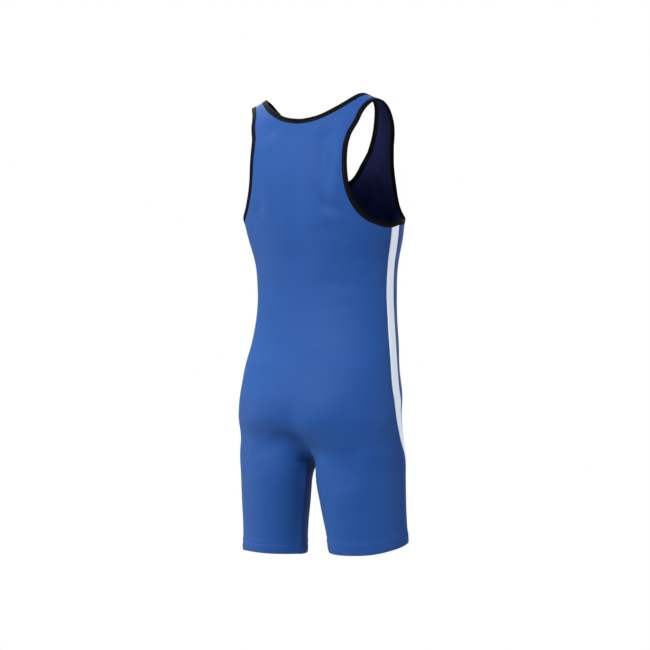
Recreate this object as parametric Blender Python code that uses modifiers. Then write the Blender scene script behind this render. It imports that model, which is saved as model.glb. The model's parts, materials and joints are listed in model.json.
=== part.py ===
"""Weightlifting singlet, filled out as worn, with nobody in it.

Two stretch-knit panels, a back and a front, each in one piece from the neck to both leg
hems, are joined by an inset side band down each flank and by the inseam that runs from
hem to hem through the crotch. Bound edges finish the neck and both armholes. The cloth is
a thin wall over a smooth general figure, which is worked out from the tables below.

Heights in the tables are millimetres above the crotch, x is the distance from the middle,
and +y is towards the wearer's back. The model itself is in metres, +Z up, with the front
facing -Y, the wearer's left at +X, and the origin midway between the two shoulder ridges,
where the straps rest on the wearer.
"""

import math

import bmesh
import bpy
import numpy as np
from mathutils import Vector
from mathutils.geometry import delaunay_2d_cdt

# ---------------------------------------------------------------- sizes, mm
SHOULDER_HEIGHT = 653.0      # crotch to the middle of the shoulder ridge
SHOULDER_Y = 38.0            # shoulder ridge behind the middle of the figure
CLOTH = 1.2                  # thickness of the doubled knit wall
SEAM_GAP = 0.3
LEG_LENGTH = 195.0           # crotch to leg hem, along the inseam

HIP_LEVEL = 130.0            # rows above this run level round the hips
THIGH_LEVEL = -30.0          # rows below this run level round one thigh
YOKE_LEVEL = 560.0           # rows above this turn over the shoulder
YOKE_RUN = 134.0             # cloth from the yoke level up to the ridge
PANEL_SPAN = 270.0           # nominal width of half a panel
CAP_HEIGHT = 90.0            # height of the rounded top of the shoulder
CROTCH_DROP = 8.0            # lowest point of the torso under the crotch level
SEAT_ROUND = 74.0            # height over which the torso closes at the bottom, behind
FRONT_ROUND = 130.0          # the same in front
BLEND = 42.0                 # softness where torso and thighs meet
CROTCH_Y = 26.0
INSEAM_TURN = math.radians(-82.0)

TORSO_COLUMNS = ("height", "half_width", "back", "front", "centre", "back_square", "front_square")
TORSO = (
    (-10, 156, 98, 90, 11.0, 2.20, 2.20),
    (50, 157, 114, 96, 12.0, 2.25, 2.25),
    (100, 158, 114, 98, 15.3, 2.25, 2.25),
    (150, 153.5, 100.5, 100, 14.5, 2.25, 2.25),
    (200, 146, 89, 100, 4.0, 2.25, 2.25),
    (250, 140, 83.5, 101.5, -1.0, 2.25, 2.25),
    (300, 137.5, 85, 103.5, -3.0, 2.25, 2.25),
    (350, 140, 94, 107, -3.4, 2.25, 2.25),
    (400, 151.5, 102, 112.8, 3.0, 2.25, 2.30),
    (450, 159, 105, 113, 11.0, 2.30, 2.55),
    (500, 163, 105, 106, 16.0, 2.35, 3.00),
    (560, 166, 90, 94, 24.0, 2.40, 3.10),
    (600, 163, 68, 80, 31.0, 2.40, 2.90),
    (640, 160, 52, 73, 36.5, 2.35, 2.60),
    (680, 158, 44, 68, 38.0, 2.30, 2.50),
)
THIGH_COLUMNS = ("height", "centre_x", "centre_y", "long_half", "short_half")
THIGH = (
    (-215, 102.5, 12.0, 73.0, 58.5),
    (-150, 98.5, 17.0, 76.0, 60.5),
    (-100, 94.0, 22.5, 80.0, 63.5),
    (-50, 89.5, 27.5, 85.0, 66.7),
    (0, 85.0, 26.0, 87.0, 73.0),
    (40, 80.0, 21.0, 82.0, 75.0),
    (80, 74.0, 19.0, 70.0, 68.0),
    (130, 70.0, 16.0, 54.0, 52.0),
    (180, 68.0, 16.0, 36.0, 36.0),
)
THIGH_TURN = math.radians(45.0)
RIDGE_COLUMNS = ("side", "height")
RIDGE = ((0, 700), (60, 681), (103, 662), (144, 644), (175, 628))

FORM_COLUMNS = ("x", "z", "half_wide", "half_high", "proud")
BACK_FORMS = (
    (74, 520, 46, 62, 4.0),      # shoulder blade
    (0, 470, 26, 120, -4.0),     # hollow of the spine
    (0, 250, 40, 60, -3.0),      # small of the back
    (76, 82, 52, 52, 7.0),       # seat
    (0, 60, 20, 70, -4.0),       # middle of the seat, bridged by the cloth
)
FRONT_FORMS = (
    (78, 500, 52, 52, 6.0),      # chest
    (0, 500, 24, 90, -3.0),      # breastbone
)
SIDE_COLUMNS = ("height", "back_edge", "front_edge")
SIDE_BAND = (
    (-215, 144.0, 166.0), (-150, 141.5, 163.5), (-100, 137.0, 159.0), (-50, 128.5, 152.0),
    (-20, 119.0, 143.5), (0, 110.0, 134.5), (25, 98.0, 118.5), (60, 86.5, 100.5),
    (104, 84.7, 95.3), (150, 84.8, 95.6), (200, 83.8, 94.9), (250, 83.6, 95.1), (300, 83.4, 95.1),
    (350, 83.2, 94.8), (400, 83.0, 93.6), (430, 82.5, 92.9), (560, 82.5, 92.9),
)
HEM_COLUMNS = ("turn", "right", "left")
HEM = (
    (-90, -186, -198.5), (-30, -188, -195), (30, -185.5, -195), (80, -177.5, -199),
    (120, -171, -199), (160, -173, -197), (270, -186, -198.5),
)

# The cloth under the left arm sits higher than under the right.
LEFT_LIFT = 14.0

# Cut edges of the cloth, from the middle of the neck or the bottom of the armhole up to
# the shoulder ridge: run up the panel, half width there.
EDGE_COLUMNS = ("run", "half_width")
BACK_NECK = (
    (618.5, 0), (619.8, 15), (625.5, 38), (634, 54), (641, 64), (649, 74.5), (657, 83.5),
    (667, 93), (680, 104), (694, 112),
)
BACK_ARMHOLE = (
    (414.8, 153.5), (415.0, 148), (418.4, 139), (427.5, 125), (440, 114.5), (455.4, 106.5),
    (473, 100.5), (493, 97), (529, 94.6), (570, 95), (597, 98), (615, 102.5), (632, 106.5),
    (650, 109.5), (664, 114), (680, 122.5), (694, 130.5),
)
FRONT_NECK = (
    (504, 0), (507, 12), (516, 24), (527, 33.5), (537.5, 41.5), (546.5, 49.5), (555.5, 57.5),
    (564, 65.5), (573.5, 73), (584, 80), (595, 86), (607, 91.5), (620, 97), (633.5, 102.5),
    (648, 108), (662, 111.5), (678, 112.5), (694, 112),
)
FRONT_ARMHOLE = (
    (421.5, 155.5), (425.5, 149), (432, 137.5), (441, 126.5), (455, 115.5), (476, 107.5),
    (500, 104), (522, 103), (540, 104), (558, 107.5), (576, 113.5), (590, 119.5), (604, 124.5),
    (620, 128.5), (636, 131), (652, 132.3), (668, 132.5), (682, 131.8), (694, 130.5),
)
BINDING_WIDTH = 8.2
BINDING_THICK = 2.4


def column(table, columns, name, level):
    """Smooth curve through one named column of a table, read at the given levels."""
    rows = np.asarray(table, float)
    at, val = rows[:, 0], rows[:, columns.index(name)]
    step = np.diff(at)
    rise = np.diff(val) / step
    slope = np.empty_like(val)
    slope[1:-1] = (rise[:-1] * step[1:] + rise[1:] * step[:-1]) / (step[1:] + step[:-1])
    slope[0], slope[-1] = rise[0], rise[-1]
    level = np.clip(np.asarray(level, float), at[0], at[-1])
    i = np.clip(np.searchsorted(at, level, side="right") - 1, 0, len(at) - 2)
    h = step[i]
    t = (level - at[i]) / h
    return (
        (2 * t**3 - 3 * t**2 + 1) * val[i] + (t**3 - 2 * t**2 + t) * h * slope[i]
        + (3 * t**2 - 2 * t**3) * val[i + 1] + (t**3 - t**2) * h * slope[i + 1]
    )


def torso(name, z):
    return column(TORSO, TORSO_COLUMNS, name, z)


def thigh(name, z):
    return column(THIGH, THIGH_COLUMNS, name, z)


def ridge(side):
    return column(RIDGE, RIDGE_COLUMNS, "height", np.abs(side))


def smooth(t):
    t = np.clip(t, 0.0, 1.0)
    return t * t * (3 - 2 * t)


def forms(table, x, z):
    total = np.zeros(np.broadcast(x, z).shape)
    for fx, fz, wide, high, proud in table:
        for centre in ({fx, -fx}):
            total = total + proud * np.exp(-(((x - centre) / wide) ** 2) - ((z - fz) / high) ** 2)
    return total


def figure(p):
    """Signed distance, roughly, from the smooth general figure that the cloth follows."""
    x, y, z = p[..., 0], p[..., 1], p[..., 2]
    a, mid = torso("half_width", z), torso("centre", z)
    dy = y - mid
    back = torso("back", z) + forms(BACK_FORMS, x, z)
    front = torso("front", z) + forms(FRONT_FORMS, x, z)
    turn = smooth(0.5 + dy / 60.0)
    b = front + (back - front) * turn
    n = torso("front_square", z) * (1 - turn) + torso("back_square", z) * turn
    across = np.abs(x / a) ** n
    reach = np.clip(1 - across, 0, None) ** (1 / n)
    top = np.clip(z - (ridge(x) - CAP_HEIGHT * reach), 0, None) / CAP_HEIGHT
    rho = (across + ((dy / b) ** 2 + top**2) ** (n / 2)) ** (1 / n)
    round_ = FRONT_ROUND + (SEAT_ROUND - FRONT_ROUND) * smooth(0.5 + dy / 120.0)
    low = np.clip(round_ - CROTCH_DROP - z, 0, None) / round_
    rho = np.sqrt(rho**2 + low**2) + 1e-9
    arm = np.sqrt(x**2 + dy**2 + (round_ * low) ** 2 + (CAP_HEIGHT * top) ** 2)
    body = arm * (1 - 1 / rho)
    legs = []
    for side in (1, -1):
        ex, ey = x * side - thigh("centre_x", z), y - thigh("centre_y", z)
        c, s = math.cos(THIGH_TURN), math.sin(THIGH_TURN)
        u, v = ex * c - ey * s, ex * s + ey * c
        r = np.sqrt((u / thigh("long_half", z)) ** 2 + (v / thigh("short_half", z)) ** 2) + 1e-9
        legs.append(np.sqrt(ex**2 + ey**2) * (1 - 1 / r))
    leg = soft_min(legs[0], legs[1], 16.0)
    out = soft_min(body, leg, BLEND)
    return np.where(z > 185, body, out)


def soft_min(a, b, k):
    h = np.clip(k - np.abs(a - b), 0, None) / k
    return np.minimum(a, b) - h * h * k * 0.25


def gradient(p, step=0.5):
    g = np.empty_like(p)
    for i in range(3):
        d = np.zeros(3)
        d[i] = step
        g[..., i] = (figure(p + d) - figure(p - d)) / (2 * step)
    return g


def settle(p, rounds=6):
    """Moves points onto the figure along its normal."""
    p = np.array(p, float)
    for _ in range(rounds):
        g = gradient(p)
        n2 = np.sum(g * g, -1, keepdims=True) + 1e-9
        move = figure(p)[..., None] * g / n2
        size = np.linalg.norm(move, axis=-1, keepdims=True)
        p = p - move * np.minimum(1.0, 25.0 / (size + 1e-9))
    return p


def normals(p):
    g = gradient(p)
    return g / (np.linalg.norm(g, axis=-1, keepdims=True) + 1e-12)


def cast(origin, direction, reach):
    """Where rays that start inside the figure leave it, before the distance reach."""
    lo = np.zeros(origin.shape[:-1])
    hi = np.broadcast_to(np.asarray(reach, float), lo.shape).copy()
    for _ in range(30):
        mid = 0.5 * (lo + hi)
        out = figure(origin + direction * mid[..., None]) > 0
        hi = np.where(out, mid, hi)
        lo = np.where(out, lo, mid)
    return origin + direction * (0.5 * (lo + hi))[..., None]


def level_ray(cx, cy, z, turn):
    """Point of the figure at height z, seen from (cx, cy) at a turn from the back, outwards."""
    cx, cy, z, turn = np.broadcast_arrays(*[np.asarray(v, float) for v in (cx, cy, z, turn)])
    d = np.stack([np.sin(turn), np.cos(turn), np.zeros_like(z)], -1)
    inward = np.clip(-d[..., 0], 1e-6, None)
    reach = np.where(d[..., 0] < 0, np.minimum(260.0, cx / inward), 260.0)
    return cast(np.stack([cx, cy, z], -1), d, reach)


def side_centre(z):
    w = smooth(z / HIP_LEVEL)
    return (1 - w) * thigh("centre_x", z), (1 - w) * thigh("centre_y", z) + w * torso("centre", z)


def side_turn(k, z):
    b = column(SIDE_BAND, SIDE_COLUMNS, "back_edge", z)
    f = column(SIDE_BAND, SIDE_COLUMNS, "front_edge", z)
    return np.radians(b + (f - b) * k)


def hem_height(turn, side):
    return column(HEM, HEM_COLUMNS, side, (np.degrees(turn) + 90) % 360 - 90)


def leg_height(run, turn, side):
    """Height of a point of the leg whose run goes from -LEG_LENGTH at the hem to THIGH_LEVEL."""
    share = np.clip((run - THIGH_LEVEL) / (-LEG_LENGTH - THIGH_LEVEL), 0, None)
    return np.where(run < THIGH_LEVEL,
                    THIGH_LEVEL + share * (hem_height(turn, side) - THIGH_LEVEL), run)


def lifted(s, run, side):
    """Run of a point of the panel once the cloth under the left arm is drawn up."""
    if side != "left":
        return run
    share = smooth(s / 0.7) * smooth((run - 270) / 140) * (1 - smooth((run - 440) / 110))
    return run + LEFT_LIFT * share


def side_point(run, k, side):
    """Side of the figure: k goes from the back panel's edge, 0, to the front panel's, 1."""
    run, k = np.broadcast_arrays(np.asarray(run, float), np.asarray(k, float))
    run = lifted(1.0, run, side)
    z = leg_height(run, side_turn(k, run), side)
    cx, cy = side_centre(z)
    return level_ray(cx, cy, z, side_turn(k, z))


def saddle():
    o = np.array([0.0, CROTCH_Y, HIP_LEVEL])
    return cast(o, np.array([0.0, 0.0, -1.0]), 260.0)


def row_turn(front, s, z, low):
    """Turn of a row's points: s from the middle, or the inseam, to the side band."""
    edge = side_turn(1.0 if front else 0.0, z)
    if low:
        turn = INSEAM_TURN
        return turn - s * (2 * math.pi + turn - edge) if front else turn + s * (edge - turn)
    return math.pi - s * (math.pi - edge) if front else s * edge


def leg_row(front, s, run, side):
    turn = row_turn(front, s, run, True)
    z = leg_height(run, turn, side)
    turn = row_turn(front, s, z, True)
    return level_ray(thigh("centre_x", z), thigh("centre_y", z), z, turn)


def torso_row(front, s, run):
    return level_ray(0.0, torso("centre", run), run, row_turn(front, s, run, False))


def hip_patch(front, s, run, side):
    """Cloth between the thigh rows and the hip rows, fanned out from the crotch seam."""
    t = (run - THIGH_LEVEL) / (HIP_LEVEL - THIGH_LEVEL)
    row0 = leg_row(front, s, np.full_like(s, THIGH_LEVEL), side)
    row1 = torso_row(front, s, np.full_like(s, HIP_LEVEL))
    start = leg_row(front, np.zeros(1), np.full(1, THIGH_LEVEL), side)[0]
    end = torso_row(front, np.zeros(1), np.full(1, HIP_LEVEL))[0]
    mid = saddle()
    rise = np.clip((run - THIGH_LEVEL) / -THIGH_LEVEL, 0, 1)[..., None]
    arch = start + (mid - start) * rise
    ang = np.clip(run / HIP_LEVEL, 0, 1) * math.pi / 2
    d = np.stack([np.zeros_like(ang), np.sin(ang) * (-1 if front else 1), -np.cos(ang)], -1)
    o = np.broadcast_to(np.array([0.0, CROTCH_Y, HIP_LEVEL]), d.shape)
    curve = np.where((run > 0)[..., None], cast(o, d, 260.0), arch)
    edge = side_point(run, 1.0 if front else 0.0, side)
    s_, t_ = s[..., None], t[..., None]
    c00, c01 = start, end
    e0 = side_point(np.full(1, THIGH_LEVEL), 1.0 if front else 0.0, side)[0]
    e1 = side_point(np.full(1, HIP_LEVEL), 1.0 if front else 0.0, side)[0]
    guess = ((1 - t_) * row0 + t_ * row1 + (1 - s_) * curve + s_ * edge
             - ((1 - s_) * (1 - t_) * c00 + (1 - s_) * t_ * c01 + s_ * (1 - t_) * e0 + s_ * t_ * e1))
    return settle(guess)


def yoke_row(front, s, run):
    """Cloth that turns over the shoulder: each column keeps its distance from the middle."""
    x = torso_row(front, s, np.full_like(s, YOKE_LEVEL))[..., 0]
    return yoke_point(front, x, run)


def yoke_point(front, x, run):
    ang = (run - YOKE_LEVEL) / YOKE_RUN * math.pi / 2
    x, ang = np.broadcast_arrays(x, ang)
    d = np.stack([np.zeros_like(x), np.cos(ang) * (-1 if front else 1), np.sin(ang)], -1)
    o = np.stack([x, np.full_like(x, SHOULDER_Y), np.full_like(x, YOKE_LEVEL)], -1)
    return cast(o, d, 220.0)


def panel_point(front, s, run, side):
    """Point of half a panel, on the wearer's left: s across, run up from the leg hem."""
    s, run = np.broadcast_arrays(np.asarray(s, float), np.asarray(run, float))
    run = lifted(s, run, side)
    out = np.empty(s.shape + (3,))
    for pick, rule in (
        (run < THIGH_LEVEL, lambda a, b: leg_row(front, a, b, side)),
        ((run >= THIGH_LEVEL) & (run < HIP_LEVEL), lambda a, b: hip_patch(front, a, b, side)),
        ((run >= HIP_LEVEL) & (run <= YOKE_LEVEL), lambda a, b: torso_row(front, a, b)),
        (run > YOKE_LEVEL, lambda a, b: yoke_row(front, a, b)),
    ):
        if pick.any():
            out[pick] = rule(s[pick], run[pick])
    return out


def across(front, run, x):
    """Share s of a row at which its points are x from the middle."""
    s = np.linspace(0, 1.0, 120)
    level = np.minimum(np.atleast_1d(run), YOKE_LEVEL)
    rows = torso_row(front, s[None, :] + 0 * level[:, None], level[:, None] + 0 * s)[..., 0]
    out = []
    for at, v in zip(rows, np.atleast_1d(x)):
        stop = int(np.argmax(at)) + 1
        out.append(np.interp(v, at[:stop], s[:stop]))
    return np.array(out)


def curve_through(points, spacing):
    """Even points on a smooth curve through a table's rows."""
    p = np.asarray(points, float)
    d = np.concatenate([[0], np.cumsum(np.linalg.norm(np.diff(p, axis=0), axis=1))])
    count = max(2, int(round(d[-1] / spacing)))
    at = np.linspace(0, d[-1], count + 1)
    cols = [column(np.stack([d, p[:, i]], 1), ("d", "v"), "v", at) for i in range(p.shape[1])]
    return np.stack(cols, 1)


# ---------------------------------------------------------------- mesh building
MESH_STEP = 23.5             # spacing of the points of a panel
EDGE_STEP = 14.0             # spacing along a bound edge
BAND_COLUMNS = 3
HALF_GAP = SEAM_GAP / 2
COLLECTION = "weightlifting_singlet"
# name: colour (linear), roughness
FINISH = {
    "blue_knit": ((0.045, 0.135, 0.430), 0.62),
    "white_knit": ((0.870, 0.880, 0.900), 0.60),
    "black_binding": ((0.010, 0.010, 0.012), 0.55),
}


def world(points, side=1.0):
    """From the tables' millimetres to the model's metres."""
    p = np.asarray(points, float)
    return np.stack([p[..., 0] * side, p[..., 1] - SHOULDER_Y, p[..., 2] - SHOULDER_HEIGHT], -1) / 1000


def inside(poly, pts):
    x, y = pts[:, 0], pts[:, 1]
    hit = np.zeros(len(pts), bool)
    for (x0, y0), (x1, y1) in zip(poly, np.roll(poly, -1, axis=0)):
        if y0 == y1:
            continue
        cross = ((y0 > y) != (y1 > y)) & (x < (x1 - x0) * (y - y0) / (y1 - y0) + x0)
        hit ^= cross
    return hit


def edge_distance(poly, pts):
    a, b = poly, np.roll(poly, -1, axis=0)
    best = np.full(len(pts), 1e9)
    for p, q in zip(a, b):
        d = q - p
        t = np.clip(((pts - p) @ d) / max(d @ d, 1e-9), 0, 1)
        best = np.minimum(best, np.linalg.norm(pts - (p + t[:, None] * d), axis=1))
    return best


def even(start, stop, step):
    return np.linspace(start, stop, max(2, int(round(abs(stop - start) / step)) + 1))


def on_panel(front, table, first):
    """A cut edge of a table as even points (s, run) of its panel, the first of them at s first."""
    line = curve_through(table, 3.0)
    at = np.stack([across(front, line[:, 0], np.abs(line[:, 1])), line[:, 0]], 1)
    at[0, 0] = first
    p = panel_point(front, at[:, 0], at[:, 1], "right")
    d = np.concatenate([[0], np.cumsum(np.linalg.norm(np.diff(p, axis=0), axis=1))])
    to = even(0, d[-1], EDGE_STEP)
    return np.stack([np.interp(to, d, at[:, 0]), np.interp(to, d, at[:, 1])], 1)


def side_runs(front):
    """Runs of the rows where a panel meets the side band, from its top to the hem."""
    top = (FRONT_ARMHOLE if front else BACK_ARMHOLE)[0][0]
    return even(top, -LEG_LENGTH, MESH_STEP)


def half_outline(front):
    """Outline of half a panel in (s, run), from the middle of the neck round to the crotch."""
    neck = on_panel(front, FRONT_NECK if front else BACK_NECK, 0.0)
    arm = on_panel(front, FRONT_ARMHOLE if front else BACK_ARMHOLE, 1.0)[1:]
    width = 150.0 if front else 280.0
    s_in, s_out = 1.3 * HALF_GAP / width, 1 - HALF_GAP / width
    top_run = YOKE_LEVEL + YOKE_RUN - 1.4 * HALF_GAP
    neck[-1, 1] = arm[-1, 1] = top_run
    mid = np.stack([even(neck[-1, 0], arm[-1, 0], 10 / PANEL_SPAN), ], 1)[1:-1, 0]
    shoulder = np.stack([mid, np.full(len(mid), top_run)], 1)
    sides = side_runs(front)
    side = np.stack([np.full(len(sides), s_out), sides], 1)
    hem = np.stack([np.linspace(s_out, s_in, 15 if not front else 8)[1:-1]] * 2, 1)
    hem[:, 1] = -LEG_LENGTH
    seam_runs = even(-LEG_LENGTH, 0.0, MESH_STEP)
    seam = np.stack([np.full(len(seam_runs), s_in), seam_runs], 1)
    middle = even(1.5, neck[0, 1], MESH_STEP)[:-1]
    centre = np.stack([np.zeros(len(middle)), middle], 1)
    return neck, shoulder, arm[::-1], side, hem, seam, centre


def panel_mesh(front):
    """Points (s, run) and triangles of half a panel."""
    neck, shoulder, arm, side, hem, seam, centre = half_outline(front)
    outline = np.concatenate([neck, shoulder, arm, side, hem, seam, centre])
    flat = outline * [PANEL_SPAN, 1.0]
    h = MESH_STEP
    pts = []
    rows = np.arange(-LEG_LENGTH + h * 0.8, YOKE_LEVEL + YOKE_RUN, h * 0.866)
    for j, run in enumerate(rows):
        at = np.arange(h * (0.5 if j % 2 else 1.0), PANEL_SPAN, h)
        pts.append(np.stack([at, np.full(len(at), run)], 1))
    pts = np.concatenate(pts)
    pts = pts[inside(flat, pts)]
    pts = pts[edge_distance(flat, pts) > h * 0.55]
    verts = [Vector(v) for v in np.concatenate([flat, pts])]
    n = len(flat)
    out, _, faces, _, _, _ = delaunay_2d_cdt(verts, [], [list(range(n))[::-1]], 1, 1e-5)
    where = np.array([[v.x / PANEL_SPAN, v.y] for v in out])
    return where, [list(f) for f in faces]


def panel_object(name, front, finish):
    where, faces = panel_mesh(front)
    middle = where[:, 0] < 1e-6
    bm = bmesh.new()
    sets = []
    for side, sign in (("left", 1.0), ("right", -1.0)):
        pts = world(panel_point(front, where[:, 0], where[:, 1], side), sign)
        if sign < 0:
            row = [sets[0][i] if middle[i] else bm.verts.new(p) for i, p in enumerate(pts)]
        else:
            pts[middle, 0] = 0.0
            row = [bm.verts.new(p) for p in pts]
        sets.append(row)
        for f in faces:
            bm.faces.new([row[i] for i in f])
    bmesh.ops.recalc_face_normals(bm, faces=bm.faces)
    return shell(name, bm, finish)


def turn_out(bm):
    """Turns an open surface so that its faces point away from the figure's inside."""
    bm.normal_update()
    c = np.array([f.calc_center_median() for f in bm.faces]) * 1000
    flip = np.where(c[:, :1] < 0, -1.0, 1.0) * np.array([[1.0, 0, 0]]) + np.array([[0, 1.0, 1.0]])
    n = normals(c * flip + [0, SHOULDER_Y, SHOULDER_HEIGHT]) * flip
    score = np.sum(n * np.array([f.normal * f.calc_area() for f in bm.faces]))
    if score < 0:
        bmesh.ops.reverse_faces(bm, faces=bm.faces)


def shell(name, bm, finish):
    turn_out(bm)
    obj = add_object(name, bm, finish)
    wall = obj.modifiers.new("cloth", "SOLIDIFY")
    wall.thickness = CLOTH / 1000
    wall.offset = 0.0
    wall.use_even_offset = False
    return obj


def add_object(name, bm, finish):
    mesh = bpy.data.meshes.new(name)
    bm.to_mesh(mesh)
    bm.free()
    mesh.shade_smooth()
    mesh.set_sharp_from_angle(angle=math.radians(50))
    mesh.materials.append(materials[finish])
    obj = bpy.data.objects.new(name, mesh)
    group.objects.link(obj)
    return obj


def band_object(name, side, sign, finish):
    """Inset band between the two panels, from the armhole to the leg hem."""
    back, front = side_runs(False), side_runs(True)
    edge = HALF_GAP / 27.0
    rows = []
    for k in np.linspace(edge, 1 - edge, BAND_COLUMNS):
        runs = back + (front[np.minimum(np.arange(len(back)), len(front) - 1)] - back) * k \
            if len(back) == len(front) else even(back[0] + (front[0] - back[0]) * k, -LEG_LENGTH, MESH_STEP)
        rows.append(world(side_point(runs, np.full(len(runs), k), side), sign))
    bm = bmesh.new()
    grid = [[bm.verts.new(p) for p in row] for row in rows]
    for a, b in zip(grid, grid[1:]):
        for i in range(len(a) - 1):
            bm.faces.new((a[i], a[i + 1], b[i + 1], b[i]))
    bmesh.ops.recalc_face_normals(bm, faces=bm.faces)
    return shell(name, bm, finish)


def binding_object(name, path, hollow, finish, sign=1.0):
    """Rounded strip round a closed cut edge, on the side that faces the opening.

    path: points of the cut edge, in the tables' millimetres; hollow: the middle of the
    opening, which says on which side of the edge the strip lies."""
    n = len(path)
    tangent = np.roll(path, -1, axis=0) - np.roll(path, 1, axis=0)
    tangent /= np.linalg.norm(tangent, axis=1, keepdims=True)
    mirror = np.where(path[:, :1] < 0, -1.0, 1.0) * np.array([[1.0, 0, 0]]) + np.array([[0, 1.0, 1.0]])
    normal = normals(path * mirror) * mirror
    out = np.cross(tangent, normal)
    out /= np.linalg.norm(out, axis=1, keepdims=True)
    if np.sum((hollow - path) * out) < 0:
        out = -out
    w, t = BINDING_WIDTH, BINDING_THICK / 2
    profile = ((SEAM_GAP, -0.75 * t), (SEAM_GAP, 0.75 * t), (SEAM_GAP + 1.2, t), (w - 1.4, t),
               (w, 0.0), (w - 1.4, -t), (SEAM_GAP + 1.2, -t))
    bm = bmesh.new()
    rings = []
    for i in range(n):
        rings.append([bm.verts.new(world(path[i] + out[i] * b + normal[i] * h, sign)) for b, h in profile])
    m = len(profile)
    for a, b in zip(rings, rings[1:] + rings[:1]):
        for j in range(m):
            bm.faces.new((a[j], a[(j + 1) % m], b[(j + 1) % m], b[j]))
    bmesh.ops.recalc_face_normals(bm, faces=bm.faces)
    return add_object(name, bm, finish)


def armhole_path(side):
    """The cut edge round an armhole, drawn on the left for either side."""
    back = on_panel(False, BACK_ARMHOLE, 1.0)[::-1]
    front = on_panel(True, FRONT_ARMHOLE, 1.0)
    a = panel_point(False, back[:, 0], back[:, 1], side)
    c = panel_point(True, front[:, 0], front[:, 1], side)
    k = np.linspace(0, 1, 4)[1:-1]
    runs = BACK_ARMHOLE[0][0] + (FRONT_ARMHOLE[0][0] - BACK_ARMHOLE[0][0]) * k
    b = side_point(runs, k, side)
    return np.concatenate([a, b, c[:-1]])


def neck_path():
    """The cut edge round the neck."""
    back = on_panel(False, BACK_NECK, 0.0)
    front = on_panel(True, FRONT_NECK, 0.0)
    halves = []
    for side in ("left", "right"):
        a = panel_point(False, back[:, 0], back[:, 1], side)
        c = panel_point(True, front[:, 0], front[:, 1], side)[::-1]
        halves.append(np.concatenate([a, c[1:]]))
    return np.concatenate([halves[0], halves[1][1:-1][::-1] * [-1, 1, 1]])


for old in list(bpy.data.objects):
    bpy.data.objects.remove(old, do_unlink=True)
group = bpy.data.collections.new(COLLECTION)
bpy.context.scene.collection.children.link(group)
materials = {}
for label, (colour, rough) in FINISH.items():
    mat = bpy.data.materials.new(label)
    mat.use_nodes = True
    shader = mat.node_tree.nodes["Principled BSDF"]
    shader.inputs["Base Color"].default_value = (*colour, 1.0)
    shader.inputs["Roughness"].default_value = rough
    shader.inputs["Metallic"].default_value = 0.0
    materials[label] = mat

panel_object("back_panel", False, "blue_knit")
panel_object("front_panel", True, "blue_knit")
band_object("side_band_left", "left", 1.0, "white_knit")
band_object("side_band_right", "right", -1.0, "white_knit")
binding_object("neck_binding", neck_path(), np.array([0.0, 20.0, 650.0]), "black_binding")
for side, sign in (("left", 1.0), ("right", -1.0)):
    binding_object("armhole_binding_" + side, armhole_path(side), np.array([150.0, 20.0, 530.0]),
                   "black_binding", sign)
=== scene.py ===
"""Looks of the weightlifting singlet: the fine cloth, its folds, seams, stitches and bindings.

The first part repeats the garment's sizes and form, in millimetres: heights are above the
crotch, x is the distance from the middle, +y is towards the wearer's back.
"""
import json
import math
import bmesh
import bpy
import numpy as np
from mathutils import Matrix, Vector
from mathutils.geometry import delaunay_2d_cdt
from mathutils.kdtree import KDTree

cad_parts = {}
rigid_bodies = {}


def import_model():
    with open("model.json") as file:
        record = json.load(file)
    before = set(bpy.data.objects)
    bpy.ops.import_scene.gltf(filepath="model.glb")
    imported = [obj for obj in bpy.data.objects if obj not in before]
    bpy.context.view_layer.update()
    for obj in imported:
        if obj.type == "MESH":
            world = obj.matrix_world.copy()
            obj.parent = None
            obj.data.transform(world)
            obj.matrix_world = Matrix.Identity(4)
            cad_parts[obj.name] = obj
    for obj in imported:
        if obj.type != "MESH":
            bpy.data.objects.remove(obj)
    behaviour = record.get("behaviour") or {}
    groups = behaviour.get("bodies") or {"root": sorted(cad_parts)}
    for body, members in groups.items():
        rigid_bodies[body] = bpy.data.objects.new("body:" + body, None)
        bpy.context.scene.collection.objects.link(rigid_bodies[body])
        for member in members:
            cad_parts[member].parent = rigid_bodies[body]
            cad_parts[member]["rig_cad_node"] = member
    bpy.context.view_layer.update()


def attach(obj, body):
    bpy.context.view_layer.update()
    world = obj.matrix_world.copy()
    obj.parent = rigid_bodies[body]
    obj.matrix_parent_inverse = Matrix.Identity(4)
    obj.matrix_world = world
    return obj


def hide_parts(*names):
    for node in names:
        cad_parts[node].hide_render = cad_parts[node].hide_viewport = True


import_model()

# ---------------------------------------------------------------- sizes, mm
SHOULDER_HEIGHT = 653.0      # crotch to the middle of the shoulder ridge
SHOULDER_Y = 38.0            # shoulder ridge behind the middle of the figure
CLOTH = 1.2                  # thickness of the doubled knit wall
SEAM_GAP = 0.3
LEG_LENGTH = 195.0           # crotch to leg hem, along the inseam

HIP_LEVEL = 130.0            # rows above this run level round the hips
THIGH_LEVEL = -30.0          # rows below this run level round one thigh
YOKE_LEVEL = 560.0           # rows above this turn over the shoulder
YOKE_RUN = 134.0             # cloth from the yoke level up to the ridge
PANEL_SPAN = 270.0           # nominal width of half a panel
CAP_HEIGHT = 90.0            # height of the rounded top of the shoulder
CROTCH_DROP = 8.0            # lowest point of the torso under the crotch level
SEAT_ROUND = 74.0            # height over which the torso closes at the bottom, behind
FRONT_ROUND = 130.0          # the same in front
BLEND = 42.0                 # softness where torso and thighs meet
CROTCH_Y = 26.0
INSEAM_TURN = math.radians(-69.0)

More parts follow.
